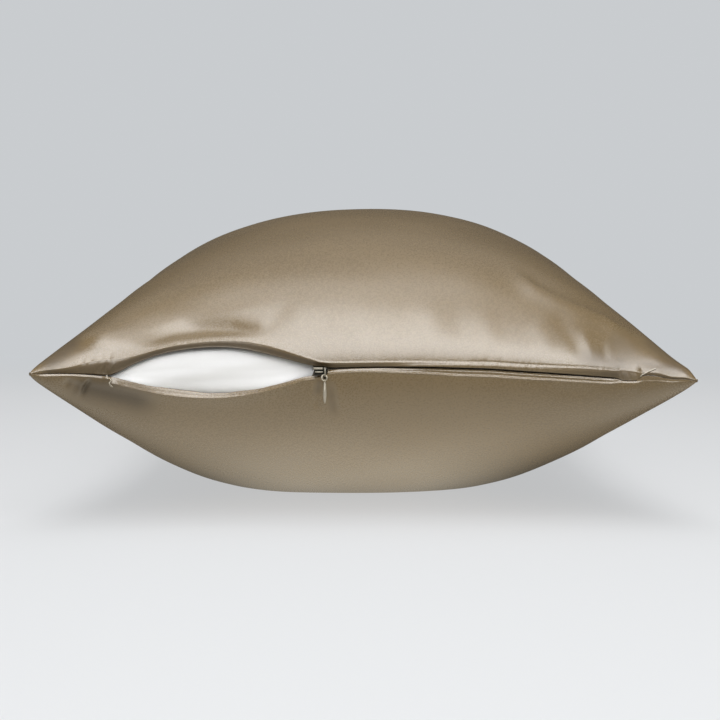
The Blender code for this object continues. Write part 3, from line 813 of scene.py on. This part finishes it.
def panel(name, side, mat, node):
    P, N, d_edge, width = place_panel(side)
    PANELS[side] = (P, N)
    rows, nf = P.shape[:2]
    fine_rows = RETURN_ROWS + BAND_ROWS + 1 + NEAR_ROWS
    fine = P[:fine_rows].reshape(-1, 3)
    coarse = P[fine_rows:, ::2]
    nc = coarse.shape[1]
    faces = grid_faces(nf, fine_rows)
    off = len(fine)
    faces += grid_faces(nc, coarse.shape[0], off)
    last = (fine_rows - 1) * nf
    for i in range(nc - 1):
        a, b, c = last + 2 * i, last + 2 * i + 1, last + 2 * i + 2
        d, e = off + i, off + i + 1
        faces += [(a, b, d), (b, e, d), (b, c, e)]
    # inner face of the cloth, coarser, a little behind
    pick_c = np.unique(np.concatenate([np.arange(0, nf, 5), [nf - 1]]))
    pick_r = np.unique(np.concatenate([[0, RETURN_ROWS + 3, RETURN_ROWS + 7, RETURN_ROWS + BAND_ROWS],
                                       np.arange(RETURN_ROWS + BAND_ROWS + 4, fine_rows, 4),
                                       np.arange(fine_rows + 1, rows, 2), [rows - 1]]))
    shift = np.full((rows, 1), LINING)
    inner = P[np.ix_(pick_r, pick_c)] - N[np.ix_(pick_r, pick_c)] * shift[pick_r][:, :, None]
    inner[0] = P[0, pick_c] + np.array([0, 0.0002, side * 0.0006])
    if side < 0:
        inner[..., 2] = np.maximum(inner[..., 2], LINING)
    ni, nj = len(pick_c), len(pick_r)
    off_i = off + coarse.shape[0] * nc
    faces += [f[::-1] for f in grid_faces(ni, nj, off_i)]
    verts = np.concatenate([fine, coarse.reshape(-1, 3), inner.reshape(-1, 3)])

    def sew(a, b):
        faces.extend(zipper(a, b, verts[a], verts[b]))
    col = lambda c_f, c_c: [r * nf + c_f for r in range(fine_rows)] + [off + r * nc + c_c for r in range(coarse.shape[0])]
    sew(list(range(nf)), [off_i + i for i in range(ni)])
    back_row = off + (coarse.shape[0] - 1) * nc
    sew([back_row + i for i in range(nc)], [off_i + (nj - 1) * ni + i for i in range(ni)])
    sew(col(0, 0), [off_i + j * ni for j in range(nj)])
    sew(col(nf - 1, nc - 1), [off_i + j * ni + ni - 1 for j in range(nj)])
    ob = mesh_object(name, verts, faces, mat)
    # painted shade of the folded band, of the slit's inside and of the shaded places, kept with the mesh
    mark = np.zeros(len(verts), np.float32)
    share = np.clip(d_edge / np.maximum(width, 1e-5), 0, 1)
    mm = 1000 * column_shares(FINE_COLUMNS) * HALF_WIDTH
    if side > 0:
        tone = 0.5 * upper_shade(mm) * (1 - smooth(0.55, 1.0, share))
    else:
        tone = 0.0 * share
    Q = seen_at(P)
    for panel_side, amount, reach, fade, points in SHADES:
        if panel_side == side:
            s, along = line_field(Q, points)
            tone = tone + amount * np.exp(-(s / reach) ** 2) * smooth(0, fade, along) * (1 - smooth(1 - fade, 1, along))
    # painted shade: the turned-in rows behind the folded edges go towards black, fully where the zip is closed
    closed = smooth(-26.0, -16.0, mm) * (1 - smooth(182.0, 196.0, mm))
    inside = np.linspace(1.0, 0.35, RETURN_ROWS)[:, None] * (1 - closed) + closed
    tone[:RETURN_ROWS] = np.maximum(tone[:RETURN_ROWS], inside)
    tone[RETURN_ROWS] = np.maximum(tone[RETURN_ROWS], 0.75 * closed)
    mark[:off] = tone[:fine_rows].ravel()
    mark[off:off_i] = (tone[fine_rows:, ::2] * smooth(0.35, -0.35, P[fine_rows:, ::2, 1] / HALF_LENGTH)).ravel()
    att = ob.data.attributes.new("painted_fold_shade", "FLOAT", "POINT")
    att.data.foreach_set("value", mark)
    face_out(ob)
    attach(ob, "root")
    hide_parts(node)
    return ob


case_top = panel("case_upper_panel", 1, SATIN_TOP, "case_top")
case_low = panel("case_lower_panel", -1, SATIN_LOW, "case_bottom")


# -------------------------------------------------------------- white pillow
def case_front(x, z):
    """Where the case's outer surface stands at a place seen from the zip end."""
    X = np.clip(x / HALF_WIDTH, -0.9995, 0.9995)
    h = z - seam_plane(X, -1.0)
    full = np.where(h > 0, CROWN[0] * (1 - np.abs(X) ** CROWN[1]) ** (1 / CROWN[1]),
                    BELLY[0] * (1 - np.abs(X) ** BELLY[1]) ** (1 / BELLY[1]))
    p = np.where(h > 0, CROWN[2], BELLY[2])
    r = np.clip(np.abs(h) / np.maximum(full, 1e-6), 0, 0.9)
    return -((1 - r ** p) ** (1 / p)) * (HALF_LENGTH - END_DRAW * (1 - np.abs(X) ** END_POWER))


def white_pillow():
    n = 186
    s = np.sin(np.pi / 2 * np.linspace(-1, 1, n + 1))
    XX, YY = np.meshgrid(s, s)
    top = base(XX, YY, 1, shrink=0.018, lower=0.972)
    low = base(XX, YY, -1, shrink=0.018, lower=0.972)
    for points, side in ((top, 1), (low, -1)):
        Q = seen_at(points)
        front = smooth(0.35, -0.35, YY)
        points[..., 2] += side * np.minimum(crease_height(side, Q), 0.0) * 1.2 * front
        points[..., 1] -= np.minimum(swell_forward(side, Q), 0.0) * 1.15 * front
        # front wall: just behind the folded edges, full in the middle of the mouth
        x, z = points[..., 0], points[..., 2]
        mm = 1000 * x
        middle = zip_height(mm) / 1000 + (edge_rise[1](mm) - edge_rise[-1](mm)) / 2000
        half = np.maximum((edge_rise[1](mm) + edge_rise[-1](mm)) / 2000, 0.004)
        t = (z - middle) / half
        mouth = smooth(-178.0, -162.0, mm) * (1 - smooth(-60.0, -26.0, mm))
        # it bulges level out of the mouth, rolls back under the upper lip and rests in the lower
        shape = np.interp(t, (-2.2, -1.6, -1.35, -1.2, -1.08, -1.0, -0.85, -0.5, 0.0, 0.5, 0.75, 1.0, 1.3),
                          (7.5, 3.8, 2.2, 1.4, 1.25, 1.5, 2.2, 4.2, 5.9, 6.6, 6.7, 6.3, 6.4)) / 1000
        rest = np.clip(edge_depth[-1](mm) - lip_proud(mm), 0.2, 3.8) - 1.8
        shape = shape + rest / 1000 * np.interp(t, (-1.6, -1.35, -0.95, -0.4), (0.0, 1.0, 1.0, 0.0))
        deep = 0.0068 + mouth * smooth(0.001, 0.0065, half) * (shape - 0.0068)
        deep = deep - np.minimum(swell_forward(side, Q), 0.0) * 1.2 + 0.0022 * smooth(0.012, 0.022, np.abs(z - middle))
        deep = deep + 0.00022 * mouth * (ripple(mm + 0.3 * z * 1000, 62.0, 5, 2) + ripple(z * 1000 - 0.2 * mm, 24.0, 6, 2))
        want = case_front(x, z) + deep
        w = (1 - smooth(0.022, 0.034, np.abs(z - middle))) * smooth(-0.5, -0.75, YY)
        w = w * (1 - smooth(0.170, 0.200, np.abs(x)))
        points[..., 1] += w * (want - points[..., 1])
    low[..., 2] = flatten(low[..., 2] - 0.0022) + 0.0022
    verts = np.concatenate([top.reshape(-1, 3), low.reshape(-1, 3)])
    faces = grid_faces(n + 1, n + 1) + grid_faces(n + 1, n + 1, (n + 1) ** 2, True)
    ob = mesh_object("white_pillow", verts, faces, WHITE)
    bm = bmesh.new()
    bm.from_mesh(ob.data)
    bmesh.ops.remove_doubles(bm, verts=bm.verts, dist=1e-6)
    bm.to_mesh(ob.data)
    bm.free()
    face_out(ob)
    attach(ob, "root")
    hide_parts("insert_pillow")
    return ob


white_pillow()


# ------------------------------------------------------------------- the zip
def tube(points, radius, sides=8, closed=False, flat=1.0, up=(0.0, 0.0, 1.0)):
    """Vertices and quads of a round wire along points; radius may vary along it."""
    p = np.asarray(points, float)
    n = len(p)
    r = np.broadcast_to(np.asarray(radius, float), (n,))
    if closed:
        d = np.roll(p, -1, 0) - np.roll(p, 1, 0)
    else:
        d = np.gradient(p, axis=0)
    d /= np.linalg.norm(d, axis=1, keepdims=True)
    ref = np.array(up, float)
    a = np.cross(d, ref)
    weak = np.linalg.norm(a, axis=1) < 0.2
    a[weak] = np.cross(d[weak], np.array([0.0, 1.0, 0.0]) if abs(ref[1]) < 0.9 else np.array([1.0, 0.0, 0.0]))
    a /= np.linalg.norm(a, axis=1, keepdims=True)
    for k in range(1, n):                            # keep the ring from turning over
        if a[k] @ a[k - 1] < 0:
            a[k] = -a[k]
    b = np.cross(d, a)
    t = 2 * np.pi * np.arange(sides) / sides
    ring = (p[:, None] + r[:, None, None] * (np.cos(t)[None, :, None] * a[:, None]
                                             + flat * np.sin(t)[None, :, None] * b[:, None]))
    verts = ring.reshape(-1, 3)
    faces = []
    for k in range(n if closed else n - 1):
        m = (k + 1) % n
        for q in range(sides):
            w = (q + 1) % sides
            faces.append((k * sides + q, k * sides + w, m * sides + w, m * sides + q))
    if not closed:
        faces.append(tuple(range(sides))[::-1])
        faces.append(tuple((n - 1) * sides + q for q in range(sides)))
    return verts, faces


def gather_up(parts):
    """Several (verts, faces) as one."""
    verts, faces, off = [], [], 0
    for v, f in parts:
        verts.append(v)
        faces += [tuple(i + off for i in q) for q in f]
        off += len(v)
    return np.concatenate(verts), faces


def finish_piece(name, parts, mat, nodes=(), body="root"):
    v, f = gather_up(parts)
    ob = mesh_object(name, v, f, mat)
    face_out(ob)
    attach(ob, body)
    if nodes:
        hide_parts(*nodes)
    return ob


def under_panel(side, mm, rise, deep):
    """Points inside a finished panel: rise and depth in mm from its folded edge, along the cloth."""
    P, N = (a[RETURN_ROWS:RETURN_ROWS + BAND_ROWS + NEAR_ROWS] for a in PANELS[side])
    cols = 1000 * column_shares(FINE_COLUMNS) * HALF_WIDTH
    run = np.vstack([np.zeros(P.shape[1]), np.cumsum(np.linalg.norm(np.diff(P, axis=0), axis=2), axis=0)]) * 1000
    out = np.empty((len(mm), 3))
    mm, rise, deep = np.broadcast_arrays(mm, rise, deep)
    at = np.interp(mm, cols, np.arange(len(cols)))
    for k in range(len(mm)):
        c = int(min(at[k], len(cols) - 2))
        f = at[k] - c
        r = run[:, c] * (1 - f) + run[:, c + 1] * f
        p = P[:, c] * (1 - f) + P[:, c + 1] * f
        n = N[:, c] * (1 - f) + N[:, c + 1] * f
        for a in range(3):
            out[k, a] = np.interp(rise[k], r, p[:, a]) - deep[k] / 1000 * np.interp(rise[k], r, n[:, a])
    short = np.minimum(rise, 0.0) / 1000             # beyond the edge, towards the other side
    out[:, 2] += side * short
    out[:, 1] -= 0.3 * short
    return out


ZIP_FROM, ZIP_TO = -176.8, 177.8
TAPE_WIDE = 11.0


def tape(name, side, node):
    """Woven tape behind a folded edge, hidden by it."""
    mm = np.linspace(ZIP_FROM, ZIP_TO, 420)
    foot = 1.0 - smooth(-35.6, -33.0, mm) * (edge_rise[side](mm) + 0.6)
    rows = []
    cross = np.linspace(0, TAPE_WIDE, 10)
    for face, order in ((0.0, cross), (0.00045, cross[::-1])):
        for r in order:
            rows.append(under_panel(side, mm, foot + r, 1.3 + 1000 * face))
    P = np.array(rows)                               # rows run round the strip
    nr, nc = P.shape[:2]
    faces = []
    for j in range(nr):
        k = (j + 1) % nr
        for i in range(nc - 1):
            faces.append((j * nc + i, j * nc + i + 1, k * nc + i + 1, k * nc + i))
    half = nr // 2
    for i, turn in ((0, 1), (nc - 1, -1)):
        for j in range(half - 1):
            q = (j * nc + i, (j + 1) * nc + i, (nr - 2 - j) * nc + i, (nr - 1 - j) * nc + i)
            faces.append(q[::turn])
    ob = finish_piece(name, [(P.reshape(-1, 3), faces)], TAPE, (node,))
    return ob


def coil(name, side):
    """The nylon coil sewn along a tape's edge; the two mesh where the zip is closed."""
    pitch, steps = 1.42, 10
    turns = int((ZIP_TO - ZIP_FROM - 4.0) / pitch)
    u = np.arange(turns * steps + 1) / steps
    mm = ZIP_FROM + 2.0 + pitch * (u + (0.5 if side < 0 else 0.0)) - 0.25 * pitch * np.sin(2 * np.pi * u)
    closed = smooth(-37.0, -19.0, mm)
    p = under_panel(side, mm, (1 - closed) * 2.6, 2.6)
    line = zip_height(mm) / 1000 + side * 0.00042
    p[:, 2] = (1 - closed) * p[:, 2] + closed * line
    p[:, 1] = (1 - closed) * p[:, 1] + closed * (case_front(mm / 1000, line) + 0.0050)
    a = 2 * np.pi * u
    p[:, 1] += 0.00055 * np.sin(a)
    p[:, 2] += side * 0.00072 * np.cos(a)
    return finish_piece(name, [tube(p, 0.00022, 5)], COIL)


def rounded_bar(lo, hi, soft, cells=3):
    """A block with rounded edges and corners."""
    lo, hi = np.array(lo, float), np.array(hi, float)
    bm = bmesh.new()
    bmesh.ops.create_cube(bm, size=1.0)
    for v in bm.verts:
        v.co = Vector(tuple((lo + hi) / 2 + np.array(v.co) * (hi - lo)))
    bmesh.ops.bevel(bm, geom=list(bm.edges), offset=soft, segments=cells, profile=0.5, affect="EDGES")
    bm.verts.index_update()
    v = np.array([x.co[:] for x in bm.verts])
    f = [tuple(x.index for x in q.verts) for q in bm.faces]
    bm.free()
    return v, f


SLIDER_FRONT = -0.3466
BAIL_X, BAIL_TOP, BAIL_BOTTOM = -0.0257, 0.1113, 0.1056


def slider():
    y = SLIDER_FRONT
    parts = [
        # the two flanges of the body, one above and one below the chain
        rounded_bar((-0.03420, y + 0.0002, 0.11020), (-0.02745, y + 0.0046, 0.11165), 0.00042),
        rounded_bar((-0.03290, y + 0.0004, 0.10820), (-0.02725, y + 0.0046, 0.10905), 0.00036),
        # painted black shade: the inside and underside of the body, and a nose block behind the ring put there so its
        # hole reads as shadow
        rounded_bar((-0.03350, y + 0.0013, 0.10645), (-0.02690, y + 0.0048, 0.11130), 0.00075),
        rounded_bar((-0.02720, y + 0.0008, 0.10760), (-0.02420, y + 0.0046, 0.11150), 0.00060),
        rounded_bar((-0.02690, y - 0.0004, 0.10390), (-0.02505, y + 0.0022, 0.10800), 0.00050),
    ]
    # the parts that take the painted black shade
    dark = (0, 0, 1, 1, 1, 0, 0)
    # lip of the upper flange, then the wire bail that stands on the body
    parts.append(tube([(-0.0344, y + 0.0011, 0.1107), (-0.0336, y + 0.0006, 0.1110), (-0.0322, y + 0.0005, 0.1112)],
                      [0.00028, 0.00036, 0.00030], 8))
    mid, tall = (BAIL_TOP + BAIL_BOTTOM) / 2, (BAIL_TOP - BAIL_BOTTOM) / 2
    a = np.linspace(0, np.pi, 31)
    arc = np.stack([BAIL_X - 0.0001 - 0.00035 * np.clip(np.cos(a), 0, 1) ** 3,
                    y + 0.0008 - 0.0040 * np.sin(a) ** 0.38, mid + tall * np.cos(a)], -1)
    parts.append(tube(arc, 0.00062, 12, up=(1, 0, 0)))
    ob = finish_piece("zip_slider_body", parts, METAL, ("zip_slider",))
    mark = np.concatenate([np.full(len(p[0]), d, np.float32) for p, d in zip(parts, dark)])
    att = ob.data.attributes.new("painted_recess_shade", "FLOAT", "POINT")
    att.data.foreach_set("value", mark)
    return ob


def pull():
    """Ring hung on the bail with a slim drop under it."""
    y = SLIDER_FRONT - 0.0016
    z = 0.10475
    t = 2 * np.pi * np.arange(40) / 40
    # the ring hangs a little turned, so its left side shows wider
    ring = np.stack([BAIL_X - 0.0006 + 0.00178 * np.cos(t), y - 0.0006 * np.cos(t) + 0.0009 * np.clip(np.sin(t), 0, 1), z + 0.0020 * np.sin(t)], -1)
    fat = 0.00044 + 0.00030 * np.clip(-np.cos(t), 0, 1)
    parts = [tube(ring, fat, 10, closed=True, up=(0, 1, 0))]
    top = z - 0.0019 + 0.0002
    n = 40
    s = np.linspace(0, 1, n)
    down = 0.0159 * s
    wide = np.interp(s, [0, 0.04, 0.14, 0.30, 0.50, 0.66, 0.85, 0.95, 1.0],
                     [0.00045, 0.00076, 0.00086, 0.00102, 0.00120, 0.00120, 0.00098, 0.00072, 0.00018])
    wide = np.convolve(np.pad(wide, 2, mode="edge"), np.ones(5) / 5, mode="valid")
    wide[-1] = 0.00016
    thick = 0.00042 + 0.00016 * np.sin(np.pi * s)
    sides = 16
    a = 2 * np.pi * np.arange(sides) / sides
    # its face leans back a little towards the top, where the light catches it
    verts = np.stack([BAIL_X - 0.00035 + wide[:, None] * np.cos(a)[None],
                      y + 0.0008 * (1 - s[:, None]) ** 2 - 0.0012 * s[:, None] + thick[:, None] * np.sin(a)[None],
                      np.broadcast_to((top - down)[:, None], (n, sides))], -1).reshape(-1, 3)
    faces = [(k * sides + q, k * sides + (q + 1) % sides, (k + 1) * sides + (q + 1) % sides, (k + 1) * sides + q)
             for k in range(n - 1) for q in range(sides)]
    faces.append(tuple(range(sides))[::-1])
    faces.append(tuple((n - 1) * sides + q for q in range(sides)))
    parts.append((verts, faces))
    # collar where the drop meets the ring
    parts.append(tube([(BAIL_X - 0.00045, y, top + 0.0004), (BAIL_X - 0.00040, y, top), (BAIL_X - 0.00035, y + 0.0002, top - 0.0009)],
                      [0.00055, 0.00082, 0.0007], 12, up=(0, 1, 0)))
    return finish_piece("zip_pull_drop", parts, PULL, ("zip_pull",))


def on_panel(side, mm, row):
    """Point and outward normal of a finished panel at a place across and a row."""
    P = PANELS[side][0]
    cols = 1000 * column_shares(FINE_COLUMNS) * HALF_WIDTH
    c = np.interp(mm, cols, np.arange(len(cols)))
    r = np.clip(np.broadcast_to(row, c.shape), 0, P.shape[0] - 2)
    c0, r0 = np.minimum(c.astype(int), len(cols) - 2), r.astype(int)
    fc, fr = (c - c0)[:, None], (r - r0)[:, None]
    p00, p01, p10, p11 = P[r0, c0], P[r0, c0 + 1], P[r0 + 1, c0], P[r0 + 1, c0 + 1]
    at = (1 - fr) * ((1 - fc) * p00 + fc * p01) + fr * ((1 - fc) * p10 + fc * p11)
    n = np.cross(p01 - p00, p10 - p00) * side
    n /= np.maximum(np.linalg.norm(n, axis=1, keepdims=True), 1e-12)
    return at, n


def stitches(name, side, first, last, row, pitch=2.7, thread=0.00017, share=0.68, seed=1):
    """A line of lockstitch: short thread bows that dip into the cloth between them."""
    rng = np.random.default_rng(seed)
    parts = []
    at = first
    while at < last:
        long = pitch * share * rng.uniform(0.9, 1.08)
        mm = np.linspace(at, at + long, 6)
        p, n = on_panel(side, mm, row(mm) if callable(row) else row + rng.uniform(-0.15, 0.15))
        bow = np.sin(np.pi * np.linspace(0, 1, 6))
        p = p + n * (thread * (0.15 + 0.75 * bow))[:, None]
        r = thread * (0.55 + 0.45 * bow ** 0.5)
        parts.append(tube(p, r, 6))
        at += pitch * rng.uniform(0.96, 1.04)
    return finish_piece(name, parts, THREAD)


def loose_threads():
    """Two cut thread ends at the bar tack in the corner of the mouth."""
    parts = []
    for mm, rows, lean in (((-175.2, -174.0, -172.6, -171.9), (19, 15, 20, 27), 0), ((-172.4, -173.2, -173.6, -172.8), (13, 17, 23, 29), 1)):
        u = np.linspace(0, 1, 14)
        m = np.interp(u, np.linspace(0, 1, 4), mm)
        r = np.interp(u, np.linspace(0, 1, 4), rows)
        p, n = on_panel(-1, m, r)
        p = p + n * (0.0003 + 0.0006 * np.sin(np.pi * u) + 0.0004 * u)[:, None]
        parts.append(tube(p, 0.00020, 6))
    # the pinched thread at the closed end of the zip
    m = np.interp(np.linspace(0, 5, 26), range(6), (190.4, 191.6, 193.6, 195.8, 198.2, 201.0))
    r = np.interp(np.linspace(0, 5, 26), range(6), (RETURN_ROWS + 2, RETURN_ROWS + 8, RETURN_ROWS + 12, CREST_ROW + 2, CREST_ROW + 5.5, CREST_ROW + 10))
    p, n = on_panel(1, m, r)
    p = p + n * (0.0004 + 0.0003 * np.sin(np.pi * np.linspace(0, 1, 26)))[:, None]
    parts.append(tube(p, 0.00034 * (0.5 + 0.5 * np.sin(np.pi * np.linspace(0.08, 0.92, 26)) ** 0.5), 8))
    # bar tack: short threads side by side across the corner
    for k in range(3):
        mm = np.full(5, -175.9 + 0.40 * k)
        zz = np.linspace(0.1069, 0.1054, 5)
        yy = case_front(mm / 1000, zz) + 0.0002 - 0.0003 * np.sin(np.pi * np.linspace(0, 1, 5))
        parts.append(tube(np.stack([mm / 1000, yy, zz], -1), 0.00014, 6, up=(0, 1, 0)))
    return finish_piece("corner_threads", parts, PALE_THREAD)


tape("tape_upper", 1, "zip_tape_upper")
tape("tape_lower", -1, "zip_tape_lower")
coil("coil_upper", 1)
coil("coil_lower", -1)
slider()
pull()
stitches("stitches_upper", 1, 46.0, 176.0, CREST_ROW + 5.0, seed=11)
stitches("stitches_lower", -1, 40.0, 170.0, RETURN_ROWS + BAND_ROWS * 0.34, seed=12)
stitches("stitches_lip", -1, -169.0, -36.0, RETURN_ROWS + BAND_ROWS * 0.46, seed=13)
loose_threads()

# ---------------------------------------------------------------- the stage
def emission(name, colour, strength):
    m = bpy.data.materials.new(name)
    m.use_nodes = True
    t = m.node_tree
    t.nodes.clear()
    e = t.nodes.new("ShaderNodeEmission")
    e.inputs["Color"].default_value = (*colour, 1.0)
    e.inputs["Strength"].default_value = strength
    o = t.nodes.new("ShaderNodeOutputMaterial")
    link(t, e.outputs[0], o.inputs["Surface"])
    return m


PALE = (0.585, 0.605, 0.625)


def floor_material():
    """A softly lit pale floor that fades into the backdrop's tone further out."""
    m, t, b = nodes_of("floor_white")
    b.inputs["Base Color"].default_value = (0.235, 0.24, 0.247, 1.0)
    b.inputs["Roughness"].default_value = 0.75
    b.inputs["Specular IOR Level"].default_value = 0.15
    b.inputs["Emission Color"].default_value = (0.97, 0.985, 1.0, 1.0)
    b.inputs["Emission Strength"].default_value = 0.52
    e = t.nodes.new("ShaderNodeEmission")
    e.inputs["Color"].default_value = (*PALE, 1.0)
    g = t.nodes.new("ShaderNodeTexGradient")
    g.gradient_type = "SPHERICAL"
    co = t.nodes.new("ShaderNodeTexCoord").outputs["Object"]
    link(t, mapped(t, co, (1 / 2.6, 1 / 2.6, 1.0)), g.inputs["Vector"])
    r = ramp(t, g.outputs["Fac"], [(0.10, (1, 1, 1)), (0.62, (0, 0, 0))])
    r.color_ramp.interpolation = "EASE"
    mix = t.nodes.new("ShaderNodeMixShader")
    link(t, r.outputs["Color"], mix.inputs["Fac"])
    link(t, b.outputs[0], mix.inputs[1])
    link(t, e.outputs[0], mix.inputs[2])
    link(t, mix.outputs[0], t.nodes["Material Output"].inputs["Surface"])
    return m


def stage():
    mesh = bpy.data.meshes.new("floor")
    bm = bmesh.new()
    bmesh.ops.create_circle(bm, cap_ends=True, radius=7.0, segments=96)
    bm.to_mesh(mesh)
    bm.free()
    ob = bpy.data.objects.new("floor", mesh)
    bpy.context.scene.collection.objects.link(ob)
    mesh.materials.append(floor_material())
    for flag in ("visible_diffuse", "visible_glossy", "visible_transmission", "visible_shadow"):
        setattr(ob, flag, False)
    # plain backdrop all round, which lights nothing
    mesh = bpy.data.meshes.new("backdrop")
    bm = bmesh.new()
    bmesh.ops.create_uvsphere(bm, u_segments=64, v_segments=32, radius=6.9)
    bmesh.ops.reverse_faces(bm, faces=bm.faces)
    bm.to_mesh(mesh)
    bm.free()
    ob = bpy.data.objects.new("backdrop", mesh)
    bpy.context.scene.collection.objects.link(ob)
    mesh.materials.append(emission("backdrop_pale", PALE, 1.0))
    for flag in ("visible_diffuse", "visible_glossy", "visible_transmission", "visible_shadow"):
        setattr(ob, flag, False)


stage()

def studio_world():
    """Dim room light, a little stronger from the front than from behind."""
    w = bpy.data.worlds.new("studio")
    bpy.context.scene.world = w
    w.use_nodes = True
    t = w.node_tree
    bg = t.nodes["Background"]
    co = t.nodes.new("ShaderNodeTexCoord").outputs["Generated"]
    sep = t.nodes.new("ShaderNodeSeparateXYZ")
    link(t, co, sep.inputs[0])
    v = math_node(t, "MULTIPLY_ADD", sep.outputs["Y"], -0.5, 0.5)
    v = math_node(t, "MULTIPLY_ADD", sep.outputs["Z"], 0.25, v)
    r = ramp(t, v, [(0.10, (0.070, 0.072, 0.075)), (0.45, (0.17, 0.176, 0.182)), (0.9, (0.25, 0.258, 0.266))])
    link(t, r.outputs["Color"], bg.inputs["Color"])
    bg.inputs["Strength"].default_value = 1.0


studio_world()


def area(name, at, aim, size, radiance, colour=(1, 1, 1)):
    d = bpy.data.lights.new(name, "AREA")
    d.shape = "RECTANGLE"
    d.size, d.size_y = size
    d.energy = radiance * math.pi * size[0] * size[1]
    d.color = colour
    ob = bpy.data.objects.new(name, d)
    ob.location = at
    ob.rotation_euler = (Vector(aim) - Vector(at)).to_track_quat("-Z", "Y").to_euler()
    bpy.context.scene.collection.objects.link(ob)
    ob.visible_camera = False
    return ob


area("key_low", (-0.025, -1.557, 1.377), (0.0, -0.32, 0.14), (0.68, 1.60), 6.6, (1.0, 0.99, 0.975))
area("key_high", (-0.09, -0.563, 1.873), (-0.02, -0.32, 0.14), (0.80, 0.80), 5.2, (1.0, 0.99, 0.975))
area("key_far", (-0.06, 0.28, 1.78), (0.0, -0.28, 0.15), (0.9, 0.9), 1.75, (1.0, 0.99, 0.98))
area("front", (0.1, -2.5, 0.55), (0.0, -0.2, 0.1), (2.4, 0.7), 0.25, (0.98, 0.99, 1.0))
area("side", (0.50, -1.42, 1.30), (-0.10, -0.34, 0.10), (0.34, 0.76), 6.0, (1.0, 0.99, 0.975))
area("back", (-0.2, 1.7, 1.9), (0.0, -0.1, 0.2), (2.2, 1.2), 0.22, (0.97, 0.985, 1.0))


def step_of(t, value, lo, hi, out_lo, out_hi):
    n = t.nodes.new("ShaderNodeMapRange")
    n.interpolation_type = "SMOOTHSTEP"
    for k, v in (("From Min", lo), ("From Max", hi), ("To Min", out_lo), ("To Max", out_hi)):
        n.inputs[k].default_value = v
    link(t, value, n.inputs["Value"])
    return n.outputs[0]


def glow_floor():
    """Light that the floor throws back up at the object, weaker in its own shade."""
    m = emission("floor_glow", (1.0, 0.95, 0.83), 1.0)
    t = m.node_tree
    e = next(n for n in t.nodes if n.type == "EMISSION")
    sep = t.nodes.new("ShaderNodeSeparateXYZ")
    link(t, t.nodes.new("ShaderNodeTexCoord").outputs["Object"], sep.inputs[0])
    x = sep.outputs["X"]
    left = math_node(t, "MULTIPLY", x, -1.0)
    y = sep.outputs["Y"]
    # shade under the overhanging sides, the bright strip under the front, the room beyond
    beside = math_node(t, "MULTIPLY", step_of(t, x, 0.04, 0.17, 0.0, 1.0), step_of(t, y, -0.35, -0.17, 0.0, 1.0))
    v = math_node(t, "MULTIPLY_ADD", beside, -0.68, 1.0)
    beside = math_node(t, "MULTIPLY", step_of(t, left, 0.04, 0.17, 0.0, 1.0), step_of(t, y, -0.35, -0.17, 0.0, 1.0))
    v = math_node(t, "MULTIPLY", v, math_node(t, "MULTIPLY_ADD", beside, -0.50, 1.0))
    v = math_node(t, "MULTIPLY", v, step_of(t, y, -0.26, -0.08, 1.0, 0.32))
    v = math_node(t, "MULTIPLY", v, step_of(t, y, -0.48, -0.32, 0.46, 1.0))
    v = math_node(t, "MULTIPLY", v, step_of(t, y, 0.0, 0.32, 1.0, 0.40))
    aside = math_node(t, "ABSOLUTE", math_node(t, "ADD", sep.outputs["X"], -0.07))
    v = math_node(t, "MULTIPLY", v, step_of(t, aside, 0.14, 0.55, 1.0, 0.50))
    link(t, math_node(t, "MULTIPLY", v, 1.02), e.inputs["Strength"])
    mesh = bpy.data.meshes.new("floor_glow")
    bm = bmesh.new()
    bmesh.ops.create_grid(bm, x_segments=1, y_segments=1, size=1.7)
    for v in bm.verts:
        v.co.z = -0.004
    bm.to_mesh(mesh)
    bm.free()
    ob = bpy.data.objects.new("floor_glow", mesh)
    bpy.context.scene.collection.objects.link(ob)
    mesh.materials.append(m)
    ob.visible_camera = False
    ob.visible_shadow = False


glow_floor()

cam = bpy.data.objects.new("camera", bpy.data.cameras.new("camera"))
bpy.context.scene.collection.objects.link(cam)
cam.data.sensor_width = 36.0
cam.data.lens = CAM_FOCAL_PX / 720 * 36.0
cam.location = CAM_AT
cam.rotation_euler = (math.pi / 2 - math.atan((360 - CAM_HORIZON) / CAM_FOCAL_PX), 0, 0)
cam.data.clip_start = 0.05
bpy.context.scene.camera = cam
bpy.context.scene.view_settings.view_transform = "Standard"
